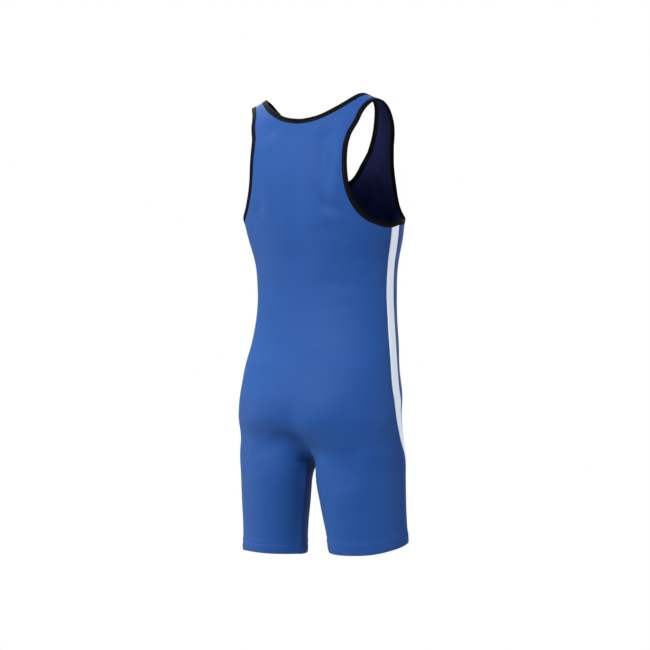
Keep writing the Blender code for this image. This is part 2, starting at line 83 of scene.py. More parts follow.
TORSO_COLUMNS = ("height", "half_width", "back", "front", "centre", "back_square", "front_square")
TORSO = (
    (-10, 156, 98, 90, 11.0, 2.20, 2.20),
    (50, 157, 114, 96, 12.0, 2.25, 2.25),
    (100, 158, 114, 98, 15.3, 2.25, 2.25),
    (150, 153.5, 100.5, 100, 14.5, 2.25, 2.25),
    (200, 146, 89, 100, 4.0, 2.25, 2.25),
    (250, 140, 83.5, 101.5, -1.0, 2.25, 2.25),
    (300, 137.5, 85, 103.5, -3.0, 2.25, 2.25),
    (350, 140, 94, 107, -3.4, 2.25, 2.25),
    (400, 151.5, 102, 112.8, 3.0, 2.25, 2.30),
    (450, 159, 105, 113, 11.0, 2.30, 2.55),
    (500, 163, 105, 106, 16.0, 2.35, 3.00),
    (560, 166, 90, 94, 24.0, 2.40, 3.10),
    (600, 163, 68, 80, 31.0, 2.40, 2.90),
    (640, 160, 52, 73, 36.5, 2.35, 2.60),
    (680, 158, 44, 68, 38.0, 2.30, 2.50),
)
THIGH_COLUMNS = ("height", "centre_x", "centre_y", "long_half", "short_half")
THIGH = (
    (-215, 102.5, 12.0, 73.0, 58.5),
    (-150, 98.5, 17.0, 76.0, 60.5),
    (-100, 94.0, 22.5, 80.0, 63.5),
    (-50, 89.5, 27.5, 85.0, 66.7),
    (0, 85.0, 26.0, 87.0, 73.0),
    (40, 80.0, 21.0, 82.0, 75.0),
    (80, 74.0, 19.0, 70.0, 68.0),
    (130, 70.0, 16.0, 54.0, 52.0),
    (180, 68.0, 16.0, 36.0, 36.0),
)
THIGH_TURN = math.radians(45.0)
RIDGE_COLUMNS = ("side", "height")
RIDGE = ((0, 700), (60, 681), (103, 662), (144, 644), (175, 628))

FORM_COLUMNS = ("x", "z", "half_wide", "half_high", "proud")
BACK_FORMS = (
    (74, 520, 46, 62, 4.0),      # shoulder blade
    (0, 470, 26, 120, -4.0),     # hollow of the spine
    (0, 250, 40, 60, -3.0),      # small of the back
    (76, 82, 52, 52, 7.0),       # seat
    (0, 60, 20, 70, -4.0),       # middle of the seat, bridged by the cloth
)
FRONT_FORMS = (
    (78, 500, 52, 52, 6.0),      # chest
    (0, 500, 24, 90, -3.0),      # breastbone
)
SIDE_COLUMNS = ("height", "back_edge", "front_edge")
SIDE_BAND = (
    (-215, 144.0, 166.0), (-150, 141.5, 163.5), (-100, 137.0, 159.0), (-50, 128.5, 152.0),
    (-20, 119.0, 143.5), (0, 110.0, 134.5), (25, 98.0, 118.5), (60, 86.5, 100.5),
    (104, 84.7, 95.3), (150, 84.8, 95.6), (200, 83.8, 94.9), (250, 83.6, 95.1), (300, 83.4, 95.1),
    (350, 83.2, 94.8), (400, 83.0, 93.6), (430, 82.5, 92.9), (560, 82.5, 92.9),
)
HEM_COLUMNS = ("turn", "right", "left")
HEM = (
    (-90, -186, -198.5), (-30, -188, -195), (30, -185.5, -195), (80, -177.5, -199),
    (120, -171, -199), (160, -173, -197), (270, -186, -198.5),
)

# The cloth under the left arm sits higher than under the right.
LEFT_LIFT = 14.0

# Cut edges of the cloth, from the middle of the neck or the bottom of the armhole up to
# the shoulder ridge: run up the panel, half width there.
EDGE_COLUMNS = ("run", "half_width")
BACK_NECK = (
    (618.5, 0), (619.8, 15), (625.5, 38), (634, 54), (641, 64), (649, 74.5), (657, 83.5),
    (667, 93), (680, 104), (694, 112),
)
BACK_ARMHOLE = (
    (414.8, 153.5), (415.0, 148), (418.4, 139), (427.5, 125), (440, 114.5), (455.4, 106.5),
    (473, 100.5), (493, 97), (529, 94.6), (570, 95), (597, 98), (615, 102.5), (632, 106.5),
    (650, 109.5), (664, 114), (680, 122.5), (694, 130.5),
)
FRONT_NECK = (
    (504, 0), (507, 12), (516, 24), (527, 33.5), (537.5, 41.5), (546.5, 49.5), (555.5, 57.5),
    (564, 65.5), (573.5, 73), (584, 80), (595, 86), (607, 91.5), (620, 97), (633.5, 102.5),
    (648, 108), (662, 111.5), (678, 112.5), (694, 112),
)
FRONT_ARMHOLE = (
    (421.5, 155.5), (425.5, 149), (432, 137.5), (441, 126.5), (455, 115.5), (476, 107.5),
    (500, 104), (522, 103), (540, 104), (558, 107.5), (576, 113.5), (590, 119.5), (604, 124.5),
    (620, 128.5), (636, 131), (652, 132.3), (668, 132.5), (682, 131.8), (694, 130.5),
)
BINDING_WIDTH = 8.2
BINDING_THICK = 2.4


def column_exact(table, columns, name, level):
    """Smooth curve through one named column of a table, read at the given levels."""
    rows = np.asarray(table, float)
    at, val = rows[:, 0], rows[:, columns.index(name)]
    step = np.diff(at)
    rise = np.diff(val) / step
    slope = np.empty_like(val)
    slope[1:-1] = (rise[:-1] * step[1:] + rise[1:] * step[:-1]) / (step[1:] + step[:-1])
    slope[0], slope[-1] = rise[0], rise[-1]
    level = np.clip(np.asarray(level, float), at[0], at[-1])
    i = np.clip(np.searchsorted(at, level, side="right") - 1, 0, len(at) - 2)
    h = step[i]
    t = (level - at[i]) / h
    return (
        (2 * t**3 - 3 * t**2 + 1) * val[i] + (t**3 - 2 * t**2 + t) * h * slope[i]
        + (3 * t**2 - 2 * t**3) * val[i + 1] + (t**3 - t**2) * h * slope[i + 1]
    )


DENSE = {}


def column(table, columns, name, level):
    """The same, from a dense list worked out once for each column."""
    key = (id(table), name)
    if key not in DENSE:
        low, high = float(table[0][0]), float(table[-1][0])
        count = int((high - low) / 0.25) + 2
        at = np.linspace(low, high, count)
        DENSE[key] = (table, low, (count - 1) / (high - low), column_exact(table, columns, name, at))
    _, low, rate, values = DENSE[key]
    place = (np.asarray(level, float) - low) * rate
    place = np.minimum(np.maximum(place, 0.0), len(values) - 1.000001)
    i = place.astype(int)
    part = place - i
    return values[i] * (1 - part) + values[i + 1] * part


def torso(name, z):
    return column(TORSO, TORSO_COLUMNS, name, z)


def thigh(name, z):
    return column(THIGH, THIGH_COLUMNS, name, z)


def ridge(side):
    return column(RIDGE, RIDGE_COLUMNS, "height", np.abs(side))


def smooth(t):
    t = np.clip(t, 0.0, 1.0)
    return t * t * (3 - 2 * t)


def forms(table, x, z):
    total = np.zeros(np.broadcast(x, z).shape)
    for fx, fz, wide, high, proud in table:
        for centre in ({fx, -fx}):
            total = total + proud * np.exp(-(((x - centre) / wide) ** 2) - ((z - fz) / high) ** 2)
    return total


def figure(p):
    """Signed distance, roughly, from the smooth general figure that the cloth follows."""
    x, y, z = p[..., 0], p[..., 1], p[..., 2]
    a, mid = torso("half_width", z), torso("centre", z)
    dy = y - mid
    back = torso("back", z) + forms(BACK_FORMS, x, z)
    front = torso("front", z) + forms(FRONT_FORMS, x, z)
    turn = smooth(0.5 + dy / 60.0)
    b = front + (back - front) * turn
    n = torso("front_square", z) * (1 - turn) + torso("back_square", z) * turn
    across = np.abs(x / a) ** n
    reach = np.clip(1 - across, 0, None) ** (1 / n)
    top = np.clip(z - (ridge(x) - CAP_HEIGHT * reach), 0, None) / CAP_HEIGHT
    rho = (across + ((dy / b) ** 2 + top**2) ** (n / 2)) ** (1 / n)
    round_ = FRONT_ROUND + (SEAT_ROUND - FRONT_ROUND) * smooth(0.5 + dy / 120.0)
    low = np.clip(round_ - CROTCH_DROP - z, 0, None) / round_
    rho = np.sqrt(rho**2 + low**2) + 1e-9
    arm = np.sqrt(x**2 + dy**2 + (round_ * low) ** 2 + (CAP_HEIGHT * top) ** 2)
    body = arm * (1 - 1 / rho)
    legs = []
    for side in (1, -1):
        ex, ey = x * side - thigh("centre_x", z), y - thigh("centre_y", z)
        c, s = math.cos(THIGH_TURN), math.sin(THIGH_TURN)
        u, v = ex * c - ey * s, ex * s + ey * c
        r = np.sqrt((u / thigh("long_half", z)) ** 2 + (v / thigh("short_half", z)) ** 2) + 1e-9
        legs.append(np.sqrt(ex**2 + ey**2) * (1 - 1 / r))
    leg = soft_min(legs[0], legs[1], 16.0)
    out = soft_min(body, leg, BLEND)
    return np.where(z > 185, body, out)


def soft_min(a, b, k):
    h = np.clip(k - np.abs(a - b), 0, None) / k
    return np.minimum(a, b) - h * h * k * 0.25


def gradient(p, step=0.5):
    g = np.empty_like(p)
    for i in range(3):
        d = np.zeros(3)
        d[i] = step
        g[..., i] = (figure(p + d) - figure(p - d)) / (2 * step)
    return g


def settle(p, rounds=6):
    """Moves points onto the figure along its normal."""
    p = np.array(p, float)
    for _ in range(rounds):
        g = gradient(p)
        n2 = np.sum(g * g, -1, keepdims=True) + 1e-9
        move = figure(p)[..., None] * g / n2
        size = np.linalg.norm(move, axis=-1, keepdims=True)
        p = p - move * np.minimum(1.0, 25.0 / (size + 1e-9))
    return p


def normals(p):
    g = gradient(p)
    return g / (np.linalg.norm(g, axis=-1, keepdims=True) + 1e-12)


def cast(origin, direction, reach):
    """Where rays that start inside the figure leave it, before the distance reach."""
    lo = np.zeros(origin.shape[:-1])
    hi = np.broadcast_to(np.asarray(reach, float), lo.shape).copy()
    for _ in range(19):
        mid = 0.5 * (lo + hi)
        out = figure(origin + direction * mid[..., None]) > 0
        hi = np.where(out, mid, hi)
        lo = np.where(out, lo, mid)
    return origin + direction * (0.5 * (lo + hi))[..., None]


def level_ray(cx, cy, z, turn):
    """Point of the figure at height z, seen from (cx, cy) at a turn from the back, outwards."""
    cx, cy, z, turn = np.broadcast_arrays(*[np.asarray(v, float) for v in (cx, cy, z, turn)])
    d = np.stack([np.sin(turn), np.cos(turn), np.zeros_like(z)], -1)
    inward = np.clip(-d[..., 0], 1e-6, None)
    reach = np.where(d[..., 0] < 0, np.minimum(260.0, cx / inward), 260.0)
    return cast(np.stack([cx, cy, z], -1), d, reach)


def side_centre(z):
    w = smooth(z / HIP_LEVEL)
    return (1 - w) * thigh("centre_x", z), (1 - w) * thigh("centre_y", z) + w * torso("centre", z)


def side_turn(k, z):
    b = column(SIDE_BAND, SIDE_COLUMNS, "back_edge", z)
    f = column(SIDE_BAND, SIDE_COLUMNS, "front_edge", z)
    return np.radians(b + (f - b) * k)


def hem_height(turn, side):
    return column(HEM, HEM_COLUMNS, side, (np.degrees(turn) + 90) % 360 - 90)


def leg_height(run, turn, side):
    """Height of a point of the leg whose run goes from -LEG_LENGTH at the hem to THIGH_LEVEL."""
    share = np.clip((run - THIGH_LEVEL) / (-LEG_LENGTH - THIGH_LEVEL), 0, None)
    return np.where(run < THIGH_LEVEL,
                    THIGH_LEVEL + share * (hem_height(turn, side) - THIGH_LEVEL), run)


def lifted(s, run, side):
    """Run of a point of the panel once the cloth under the left arm is drawn up."""
    if side != "left":
        return run
    share = smooth(s / 0.7) * smooth((run - 270) / 140) * (1 - smooth((run - 440) / 110))
    return run + LEFT_LIFT * share


def side_point(run, k, side):
    """Side of the figure: k goes from the back panel's edge, 0, to the front panel's, 1."""
    run, k = np.broadcast_arrays(np.asarray(run, float), np.asarray(k, float))
    run = lifted(1.0, run, side)
    z = leg_height(run, side_turn(k, run), side)
    cx, cy = side_centre(z)
    return level_ray(cx, cy, z, side_turn(k, z))


def saddle():
    o = np.array([0.0, CROTCH_Y, HIP_LEVEL])
    return cast(o, np.array([0.0, 0.0, -1.0]), 260.0)


def row_turn(front, s, z, low):
    """Turn of a row's points: s from the middle, or the inseam, to the side band."""
    edge = side_turn(1.0 if front else 0.0, z)
    if low:
        turn = INSEAM_TURN
        return turn - s * (2 * math.pi + turn - edge) if front else turn + s * (edge - turn)
    return math.pi - s * (math.pi - edge) if front else s * edge


def leg_row(front, s, run, side):
    turn = row_turn(front, s, run, True)
    z = leg_height(run, turn, side)
    turn = row_turn(front, s, z, True)
    return level_ray(thigh("centre_x", z), thigh("centre_y", z), z, turn)


def torso_row(front, s, run):
    return level_ray(0.0, torso("centre", run), run, row_turn(front, s, run, False))


def hip_patch(front, s, run, side):
    """Cloth between the thigh rows and the hip rows, fanned out from the crotch seam."""
    t = (run - THIGH_LEVEL) / (HIP_LEVEL - THIGH_LEVEL)
    row0 = leg_row(front, s, np.full_like(s, THIGH_LEVEL), side)
    row1 = torso_row(front, s, np.full_like(s, HIP_LEVEL))
    start = leg_row(front, np.zeros(1), np.full(1, THIGH_LEVEL), side)[0]
    end = torso_row(front, np.zeros(1), np.full(1, HIP_LEVEL))[0]
    mid = saddle()
    rise = np.clip((run - THIGH_LEVEL) / -THIGH_LEVEL, 0, 1)[..., None]
    arch = start + (mid - start) * rise + np.sin(math.pi * rise) * np.array([0.0, 5.0, 4.0])
    ang = np.clip(run / HIP_LEVEL, 0, 1) * math.pi / 2
    d = np.stack([np.zeros_like(ang), np.sin(ang) * (-1 if front else 1), -np.cos(ang)], -1)
    o = np.broadcast_to(np.array([0.0, CROTCH_Y, HIP_LEVEL]), d.shape)
    curve = np.where((run > 0)[..., None], cast(o, d, 260.0), arch)
    edge = side_point(run, 1.0 if front else 0.0, side)
    s_, t_ = s[..., None], t[..., None]
    c00, c01 = start, end
    e0 = side_point(np.full(1, THIGH_LEVEL), 1.0 if front else 0.0, side)[0]
    e1 = side_point(np.full(1, HIP_LEVEL), 1.0 if front else 0.0, side)[0]
    guess = ((1 - t_) * row0 + t_ * row1 + (1 - s_) * curve + s_ * edge
             - ((1 - s_) * (1 - t_) * c00 + (1 - s_) * t_ * c01 + s_ * (1 - t_) * e0 + s_ * t_ * e1))
    return settle(guess)


def yoke_row(front, s, run):
    """Cloth that turns over the shoulder: each column keeps its distance from the middle."""
    x = torso_row(front, s, np.full_like(s, YOKE_LEVEL))[..., 0]
    return yoke_point(front, x, run)


def yoke_point(front, x, run):
    ang = (run - YOKE_LEVEL) / YOKE_RUN * math.pi / 2
    x, ang = np.broadcast_arrays(x, ang)
    d = np.stack([np.zeros_like(x), np.cos(ang) * (-1 if front else 1), np.sin(ang)], -1)
    o = np.stack([x, np.full_like(x, SHOULDER_Y), np.full_like(x, YOKE_LEVEL)], -1)
    return cast(o, d, 220.0)


def panel_point(front, s, run, side):
    """Point of half a panel, on the wearer's left: s across, run up from the leg hem."""
    s, run = np.broadcast_arrays(np.asarray(s, float), np.asarray(run, float))
    run = lifted(s, run, side)
    out = np.empty(s.shape + (3,))
    for pick, rule in (
        (run < THIGH_LEVEL, lambda a, b: leg_row(front, a, b, side)),
        ((run >= THIGH_LEVEL) & (run < HIP_LEVEL), lambda a, b: hip_patch(front, a, b, side)),
        ((run >= HIP_LEVEL) & (run <= YOKE_LEVEL), lambda a, b: torso_row(front, a, b)),
        (run > YOKE_LEVEL, lambda a, b: yoke_row(front, a, b)),
    ):
        if pick.any():
            out[pick] = rule(s[pick], run[pick])
    return out


def across(front, run, x):
    """Share s of a row at which its points are x from the middle."""
    s = np.linspace(0, 1.0, 120)
    level = np.minimum(np.atleast_1d(run), YOKE_LEVEL)
    rows = torso_row(front, s[None, :] + 0 * level[:, None], level[:, None] + 0 * s)[..., 0]
    out = []
    for at, v in zip(rows, np.atleast_1d(x)):
        stop = int(np.argmax(at)) + 1
        out.append(np.interp(v, at[:stop], s[:stop]))
    return np.array(out)


def curve_through(points, spacing):
    """Even points on a smooth curve through a table's rows."""
    p = np.asarray(points, float)
    d = np.concatenate([[0], np.cumsum(np.linalg.norm(np.diff(p, axis=0), axis=1))])
    count = max(2, int(round(d[-1] / spacing)))
    at = np.linspace(0, d[-1], count + 1)
    cols = [column_exact(np.stack([d, p[:, i]], 1), ("d", "v"), "v", at) for i in range(p.shape[1])]
    return np.stack(cols, 1)


# ---------------------------------------------------------------- relief of the cloth, mm
# Soft troughs (depth over 0) and ridges (under 0) of the worn cloth. x is towards the
# wearer's left, z above the crotch; bow bends the line sideways at its middle.
CREASE_COLUMNS = ("x0", "z0", "x1", "z1", "bow", "half_wide", "depth")
BACK_CREASES = (
    (-50, 474, -88, 442, -9, 10, 3.6),       # under the right shoulder blade
    (-57, 600, -55, 464, 3, 19, 5.0),        # inner edge of the right shoulder blade
    (-90, 590, -86, 470, 0, 13, -2.6),
    (-70, 606, -42, 588, 0, 11, 3.4),        # hollows below the back neck
    (52, 606, 66, 594, 0, 14, 2.4),
    (78, 468, 98, 436, 4, 14, 3.2),          # under the left shoulder blade
    (40, 560, 34, 480, -5, 13, 1.6),
    (-30, 405, -105, 392, 5, 9, 0.8),        # faint pulls across the back
    (22, 352, 92, 366, -5, 10, 0.7),
    (-18, 316, -88, 300, 4, 9, 0.8),
    (40, 286, 106, 276, -4, 8, 0.8),
    (-52, 262, -118, 270, 5, 9, 0.8),
    (-22, 232, 44, 226, 3, 9, 0.7),
    (96, 82, 34, 72, 4, 24, -3.2),           # the two halves of the seat
    (-24, 60, -96, 58, 3, 26, -3.6),
    (98, 48, 34, 38, 4, 24, -2.0),           # under the seat the cloth turns in to the thighs
    (100, 14, 6, -8, 5, 32, 4.2),
    (-34, 22, -112, 12, -4, 24, -2.2),
    (-22, -12, -126, -26, -5, 25, 5.4),
    (-26, -40, -122, -56, -5, 44, 5.4),
    (108, 34, 60, 24, 5, 20, 0.9),           # fold under the left half of the seat
    (72, 28, 4, 14, 5, 20, 1.0),
    (20, 34, -8, 6, 1, 14, 2.4),
    (-2, 8, -62, -2, -2, 16, 2.4),           # and under the right half
    (-52, -2, -122, 6, -5, 14, 1.8),
    (30, 22, 62, 8, 0, 9, 1.6),
    (-22, 34, -46, 24, 0, 8, 1.0),
    (90, -4, 120, -14, 3, 9, 0.9),
    (60, -62, 100, -74, 3, 9, 0.8),
    (-70, -58, -118, -48, -4, 10, 0.8),
    (-84, -118, -128, -108, 3, 9, 0.7),
    (52, -126, 96, -132, -3, 9, 0.7),
)
FRONT_CREASES = (
    (-96, 560, -100, 470, 6, 9, 4.0),        # long soft folds down the right of the chest
    (-78, 540, -86, 455, 5, 7, 3.0),
    (-60, 516, -72, 440, 5, 7, 2.6),
    (-34, 486, -50, 450, 3, 6, 2.2),         # short folds fanned out under the scoop
    (-16, 480, -22, 446, 2, 6, 1.8),
    (12, 480, 20, 448, -2, 6, 1.8),
    (38, 492, 60, 450, -4, 7, 2.2),
    (92, 556, 100, 468, -6, 9, 3.2),
    (-122, 440, -66, 420, 4, 10, 1.8),       # slack below the arms
    (118, 448, 62, 424, -4, 10, 1.8),
    (-100, 334, -26, 322, 5, 11, 1.5),       # soft rolls across the waist
    (24, 298, 106, 312, -5, 11, 1.5),
    (-88, 264, -10, 254, 4, 11, 1.4),
    (8, 232, 92, 246, -4, 11, 1.4),
    (-70, 214, -20, 208, 3, 9, 0.9),
    (-118, 96, -30, 22, -7, 9, 3.0),         # pulls from the hips to the crotch
    (116, 98, 30, 20, 7, 9, 2.8),
    (-92, 66, -24, 10, -5, 7, 2.0),
    (90, 62, 26, 6, 5, 7, 1.9),
    (-60, 14, -116, -6, 3, 9, 1.7),
    (58, 10, 118, -8, -3, 9, 1.7),
    (-66, -66, -116, -78, 3, 10, 1.2),
    (64, -84, 114, -72, -3, 10, 1.2),
    (-50, -118, -96, -128, 2, 10, 0.9),
    (54, -130, 92, -122, -2, 10, 0.9),
)


def creases(table, x, z):
    total = np.zeros(x.shape)
    for x0, z0, x1, z1, bow, wide, depth in table:
        dx, dz = x1 - x0, z1 - z0
        long = math.hypot(dx, dz)
        t = ((x - x0) * dx + (z - z0) * dz) / long**2
        side = ((x - x0) * dz - (z - z0) * dx) / long
        mid = np.clip(t, 0, 1)
        off = side - bow * 4 * mid * (1 - mid)
        past = np.clip(np.abs(t - 0.5) - 0.5, 0, None) * long
        ends = np.exp(-((past / (1.6 * wide)) ** 2)) * (0.35 + 0.65 * np.sin(np.pi * mid) ** 0.8)
        d = off / wide
        lobe = 0.32 * min(1.0, 4.0 / abs(depth)) ** 2
        total = total - depth * ends * (np.exp(-d * d) - lobe * np.exp(-((np.abs(d) - 2.0) ** 2)))
    return total


def ripple(x, y, z):
    """Slight unevenness of cloth that no table row names."""
    a = np.sin(x / 23.0 + 1.3 * np.sin(z / 61.0) + 0.4) * np.sin(z / 37.0 + y / 29.0)
    b = np.sin(z / 15.5 + x / 47.0 + 1.1 * np.sin(y / 33.0 + 2.0)) * np.sin(x / 31.0 - y / 19.0 + 1.0)
    c = np.sin((x + 0.6 * z) / 11.0 + 1.7 * np.sin(z / 44.0)) * np.sin(z / 27.0 - 0.5)
    return 0.46 * a + 0.27 * b + 0.10 * c


def form_relief(p, n, share=1.0):
    """Relief along the normal, at points p of the figure, with x signed."""
    x, y, z = p[:, 0], p[:, 1], p[:, 2]
    back = smooth(0.5 + 1.4 * n[:, 1])
    fold = back * creases(BACK_CREASES, x, z) + (1 - back) * creases(FRONT_CREASES, x, z)
    crotch = (x / 15.0) ** 2 + ((y - 38.0) / 30.0) ** 2 + ((z + 18.0) / 22.0) ** 2
    return share * (fold + ripple(x, y, z)) - 10.0 * np.exp(-crotch)


def edge_share(d):
    """Folds die out where the bindings hold the cloth, d away from them."""
    return 0.12 + 0.88 * smooth(d / 32.0)


def signed_normals(p):
    """Outward normals of the figure for points whose x is signed."""
    flip = np.where(p[:, :1] < 0, -1.0, 1.0) * np.array([[1.0, 0, 0]]) + np.array([[0, 1.0, 1.0]])
    return normals(p * flip) * flip


# ---------------------------------------------------------------- fine mesh of the panels
STEP = 5.6                   # spacing of a panel's points across the flat pattern
EDGE = 2.8                   # spacing along cut edges and seams
FRINGE = 1.5                 # a row of points this far inside every edge
BAND_WIDE = 27.0
CLOTH_THICK = 1.1
HEM_TURN = 23.0              # height of the turned-up hem
HEM_ROWS = (15.5, 21.5)      # the two rows of stitches, above the hem's edge


def world(p):
    p = np.asarray(p, float)
    return np.stack([p[..., 0], p[..., 1] - SHOULDER_Y, p[..., 2] - SHOULDER_HEIGHT], -1) / 1000


def inside(poly, pts):
    x, y = pts[:, 0], pts[:, 1]
    hit = np.zeros(len(pts), bool)
    for (x0, y0), (x1, y1) in zip(poly, np.roll(poly, -1, axis=0)):
        if y0 == y1:
            continue
        hit ^= ((y0 > y) != (y1 > y)) & (x < (x1 - x0) * (y - y0) / (y1 - y0) + x0)
    return hit


def distance_to(line, pts, closed=False):
    """Distance from points to a polyline, flat or in space."""
    best = np.full(len(pts), 1e9)
    ends = np.roll(line, -1, axis=0) if closed else line[1:]
    for p, q in zip(line if closed else line[:-1], ends):
        d = q - p
        t = np.clip(((pts - p) @ d) / max(d @ d, 1e-9), 0, 1)
        best = np.minimum(best, np.linalg.norm(pts - (p + t[:, None] * d), axis=1))
    return best


def nearest(line, pts):
    """Distance from points to a dense row of points, and the nearest one's number."""
    tree = KDTree(len(line))
    for i, p in enumerate(line):
        tree.insert(p, i)
    tree.balance()
    found = [tree.find(p) for p in pts]
    return np.array([f[2] for f in found]), np.array([f[1] for f in found])


def even(start, stop, step):
    return np.linspace(start, stop, max(2, int(round(abs(stop - start) / step)) + 1))


def spaced(line, step):
    """A line again, with points about step apart."""
    d = np.concatenate([[0], np.cumsum(np.linalg.norm(np.diff(line, axis=0), axis=1))])
    to = even(0, d[-1], step)
    return np.stack([np.interp(to, d, line[:, k]) for k in range(line.shape[1])], 1)


def on_panel(front, table, first, step=EDGE):
    """A cut edge of a table as even points (s, run) of its panel, the first of them at s first."""
    line = curve_through(table, 3.0)
    at = np.stack([across(front, line[:, 0], np.abs(line[:, 1])), line[:, 0]], 1)
    at[0, 0] = first
    p = panel_point(front, at[:, 0], at[:, 1], "right")
    d = np.concatenate([[0], np.cumsum(np.linalg.norm(np.diff(p, axis=0), axis=1))])
    to = even(0, d[-1], step)
    return np.stack([np.interp(to, d, at[:, 0]), np.interp(to, d, at[:, 1])], 1)


def half_outline(front):
    """Outline of half a panel in (s, run), by its edges."""
    neck = on_panel(front, FRONT_NECK if front else BACK_NECK, 0.0)
    arm = on_panel(front, FRONT_ARMHOLE if front else BACK_ARMHOLE, 1.0)
    top = YOKE_LEVEL + YOKE_RUN
    neck[-1, 1] = arm[-1, 1] = top
    mid = even(neck[-1, 0], arm[-1, 0], EDGE / PANEL_SPAN)[1:-1]
    shoulder = np.stack([mid, np.full(len(mid), top)], 1)
    runs = even(arm[0, 1], -LEG_LENGTH, EDGE)
    side = np.stack([np.ones(len(runs)), runs], 1)[1:]
    hem = np.stack([even(1, 0, EDGE / (120.0 if front else 280.0))[1:-1]] * 2, 1)
    hem[:, 1] = -LEG_LENGTH
    runs = even(-LEG_LENGTH, 0.0, EDGE)
    seam = np.stack([np.zeros(len(runs)), runs], 1)
    runs = even(0.0, neck[0, 1], EDGE)[1:-1]
    centre = np.stack([np.zeros(len(runs)), runs], 1)
    return {"neck": neck, "shoulder": shoulder, "arm": arm[::-1], "side": side, "hem": hem,
            "seam": seam, "centre": centre}


def panel_mesh(front):
    """Points (s, run), triangles and named edges of half a panel."""
    edges = half_outline(front)
    flat = np.concatenate(list(edges.values())) * [PANEL_SPAN, 1.0]
    n = len(flat)
    tangent = np.roll(flat, -1, axis=0) - np.roll(flat, 1, axis=0)
    tangent /= np.linalg.norm(tangent, axis=1, keepdims=True) + 1e-9
    if 0.5 * np.sum(flat[:, 0] * np.roll(flat[:, 1], -1) - np.roll(flat[:, 0], -1) * flat[:, 1]) < 0:
        tangent = -tangent
    inward = np.stack([-tangent[:, 1], tangent[:, 0]], 1)
    rows = []
    for deep, every in ((FRINGE, 1), (FRINGE * 2.7, 1)):
        ring = (flat + inward * deep)[::every]
        far = distance_to(flat, ring, True)
        rows.append(ring[inside(flat, ring) & (far > deep * 0.93)])
    grid = []
    for j, run in enumerate(np.arange(-LEG_LENGTH + STEP, YOKE_LEVEL + YOKE_RUN, STEP * 0.866)):
        at = np.arange(STEP * (0.5 if j % 2 else 1.0), PANEL_SPAN, STEP)
        grid.append(np.stack([at, np.full(len(at), run)], 1))
    grid = np.concatenate(grid)
    grid = grid[inside(flat, grid)]
    grid = grid[distance_to(flat, grid, True) > FRINGE * 2.7 + STEP * 0.5]
    # rings from the two sides of a narrow place may meet: keep points that stand apart
    ring = np.concatenate(rows)
    tree = KDTree(len(ring))
    keep = []
    for i, p in enumerate(ring):
        tree.insert((p[0], p[1], 0), i)
    tree.balance()
    dropped = np.zeros(len(ring), bool)
    for i, p in enumerate(ring):
        if dropped[i]:
            continue
        keep.append(i)
        for _, j, _ in tree.find_range((p[0], p[1], 0), 1.1):
            if j > i:
                dropped[j] = True
    verts = [Vector(v) for v in np.concatenate([flat, ring[keep], grid])]
    out, _, faces, _, _, _ = delaunay_2d_cdt(verts, [], [list(range(n))[::-1]], 1, 1e-5)
    where = np.array([[v.x / PANEL_SPAN, v.y] for v in out])
    return where, np.array([list(f) for f in faces]), edges


LENGTHS = {}


def lengths_across(front, side):
    """Arc length of every row, from the middle or the inseam, for the weave's coordinates."""
    if (front, side) in LENGTHS:
        return LENGTHS[(front, side)]
    runs = np.arange(-LEG_LENGTH, YOKE_LEVEL + YOKE_RUN + 1, 12.0)
    runs = np.append(runs, YOKE_LEVEL + YOKE_RUN)
    s = np.linspace(0, 1, 49)
    p = panel_point(front, s[None, :] + 0 * runs[:, None], runs[:, None] + 0 * s, side)
    d = np.linalg.norm(np.diff(p, axis=1), axis=2)
    LENGTHS[(front, side)] = runs, s, np.concatenate([np.zeros((len(runs), 1)), np.cumsum(d, axis=1)], 1)
    return LENGTHS[(front, side)]


def read_grid(runs, s, table, run, share):
    i = np.clip(np.searchsorted(runs, run, side="right") - 1, 0, len(runs) - 2)
    j = np.clip((share * (len(s) - 1)).astype(int), 0, len(s) - 2)
    a = (run - runs[i]) / (runs[i + 1] - runs[i])
    b = share * (len(s) - 1) - j
    return ((1 - a) * ((1 - b) * table[i, j] + b * table[i, j + 1])
            + a * ((1 - b) * table[i + 1, j] + b * table[i + 1, j + 1]))


def seam_relief(d):
    """A seam's groove, with the allowance behind it standing slightly proud."""
    return -0.75 * np.exp(-((d / 1.1) ** 2)) + 0.28 * np.exp(-(((d - 4.0) / 2.6) ** 2))


def inseam_ridge(d, front):
    """The two panels stand up to a soft corner where the inseam joins them."""
    sharp = 0.7 * np.exp(-((d / 3.0) ** 2))
    full = 3.6 * np.exp(-((d / 34.0) ** 2)) + 0.7 * np.exp(-np.sqrt(d * d + 0.3) / 6.0)
    return sharp + np.where(front, full, 4.3 * np.exp(-np.sqrt(d * d + 0.3) / 9.0))


def bound_relief(d, along):
    """Cloth next to a bound edge: held in by the binding, with small puckers."""
    return (-0.35 * np.exp(-((d / 2.0) ** 2))
            + 0.16 * np.exp(-((d / 9.0) ** 2)) * np.sin(along / 1.9 + 1.5 * np.sin(along / 13.0)))


def hem_relief(up, along):
    """The stitched turn-up of a leg hem, by the height above its edge."""
    low, high = HEM_ROWS
    out = 1.5 * (1 - smooth((up - high - 0.4) / 2.2))
    for row in HEM_ROWS:
        out = out - 0.95 * np.exp(-(((up - row) / 1.3) ** 2))
        out = out + 0.13 * np.exp(-(((up - row) / 3.4) ** 2)) * np.sin(along / 1.25 + np.sin(along / 17.0))
    out = out + 0.22 * np.exp(-(((up - 0.5 * (low + high)) / 2.0) ** 2))
    out = out + 0.30 * np.exp(-(((up - high - 4.0) / 2.2) ** 2))
    return out - 0.5 * np.exp(-((up / 1.6) ** 2))


